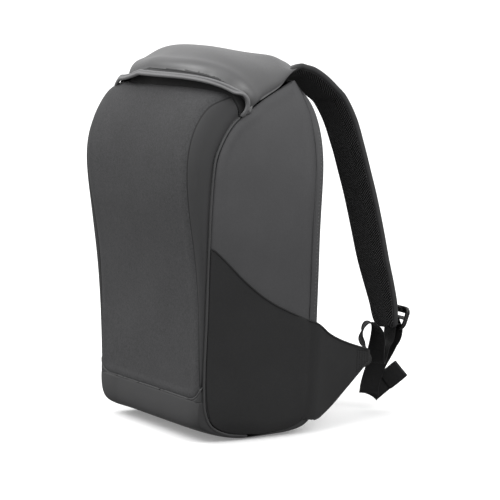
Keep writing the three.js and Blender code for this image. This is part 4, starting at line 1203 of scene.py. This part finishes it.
def strap_tab(side_name, side, table):
    """The webbing sewn on the strap's end, round the lock's top bar."""
    bar = lock_bar(table, side, 1)
    proud = TAB_GAP + WEBBING_THICKNESS / 2
    face = [strap_point(row, side) for row in table]
    places = []
    for i in range(1, len(face) - 1):
        if bar[2] < face[i][2] < bar[2] + TAB_REACH:
            along = unit(face[i + 1] - face[i - 1])
            places.append(face[i] + np.array([0, -along[2], along[1]]) * proud)
    places += wrap_round(bar, 180, 360)
    widths = [(1, 0, 0)] * len(places)
    ribbon(f"strap_tab_webbing_{side_name}", f"strap_tab_{side_name}", places, widths, TAB_STEPS)


def lower_webbing(side_name, side, table, load, tail):
    """The webbing from the wing's tip to the lock's bottom bar, round it, and its tail."""
    proud = POCKET_WALL + 2 * POCKET_GAP + WEBBING_THICKNESS
    rear_seam = seam_point("rear", WING_HEIGHT / BODY_HEIGHT)[1]

    def on_wing(row):
        back, low_half, high_half, low, high = row
        middle = (low_half + high_half) / 2 * HALF_WIDTH - proud
        return np.array([side * middle, rear_seam + back * WING_REACH, (low + high) / 2 * WING_HEIGHT])

    start = on_wing(WING[-1])
    bar = lock_bar(table, side, -1)
    way = (bar - start) * np.array([1, 1, 0])
    ahead = unit(way)
    aside = np.array([side * ahead[1], -side * ahead[0], 0])
    places = [on_wing(WING[-3]), start]
    widths = [(0.03 * side, -0.3, 1), (0.03 * side, -0.5, 0.8)]
    for along, sideways, up, x, y, z in load:
        base = np.array([start[0], start[1], start[2] + (bar[2] - start[2]) * along])
        shift = aside * sideways * WEBBING_SLACK
        places.append(base + way * along + shift + np.array([0, 0, up * WEBBING_SLACK]))
        widths.append((x * side, y, z))
    for place in wrap_round(bar, 180, 0):
        places.append(place)
        widths.append((side, 0, 0))
    if side > 0:
        turn = math.radians(HANG_TURN)
        along, ahead = (math.cos(turn), math.sin(turn), 0), (math.sin(turn), -math.cos(turn), 0)
        ways = np.array([along, (0, 0, 1), ahead])
        places += [bar + np.array(row[:3]) @ ways for row in tail]
        widths += [np.array(row[3:]) @ ways for row in tail]
    else:
        for back, sideways, height, x, y, z in tail:
            aside = side * sideways * WEBBING_SLACK
            places.append(bar + np.array([aside, back * WEBBING_SLACK, (height - 1) * bar[2]]))
            widths.append((x * side, y, z))
    steps = len(places) * RIBBON_STEPS
    ribbon(f"lower_webbing_strap_{side_name}", f"lower_webbing_{side_name}", places, widths, steps)


LOCK_BOW = 3
LOCK_ROUNDING = 1.2
# Angles in degrees: faces that are one flat face, and edges that are rounded
LOCK_FLAT, LOCK_SHARP = 2, 40


def ladder_lock(side_name):
    """A moulded copy of the lock, bowed a little, with its edges rounded."""
    node = f"ladder_lock_{side_name}"
    made = welded(node)
    flat = math.radians(LOCK_FLAT)
    bmesh.ops.dissolve_limit(made, angle_limit=flat, verts=made.verts, edges=made.edges)
    sharp = [edge for edge in made.edges if edge.calc_face_angle(0) > math.radians(LOCK_SHARP)]
    bmesh.ops.bevel(made, geom=sharp, offset=LOCK_ROUNDING * MM, segments=3, profile=0.5, affect="EDGES")
    bmesh.ops.recalc_face_normals(made, faces=made.faces)
    mesh = kept(made, node + "_moulded")
    points, _ = read_points(mesh)
    middle = (points.max(axis=0) + points.min(axis=0)) / 2
    share = (points[:, 2] - middle[2]) / (LOCK_HEIGHT / 2)
    points[:, 1] += LOCK_BOW * (1 - share ** 2)
    write_points(mesh, points)
    mesh.materials.clear()
    piece = new_object(node + "_moulded", mesh, [PLASTIC])
    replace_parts(piece, node)


for side_name, side, table, load, tail in (
    ("right", 1, RIGHT_STRAP, RIGHT_LOAD, RIGHT_TAIL),
    ("left", -1, LEFT_STRAP, LEFT_LOAD, LEFT_TAIL),
):
    shoulder_strap(f"shoulder_strap_{side_name}_padded", table, side)
    strap_tab(side_name, side, table)
    lower_webbing(side_name, side, table, load, tail)
    ladder_lock(side_name)
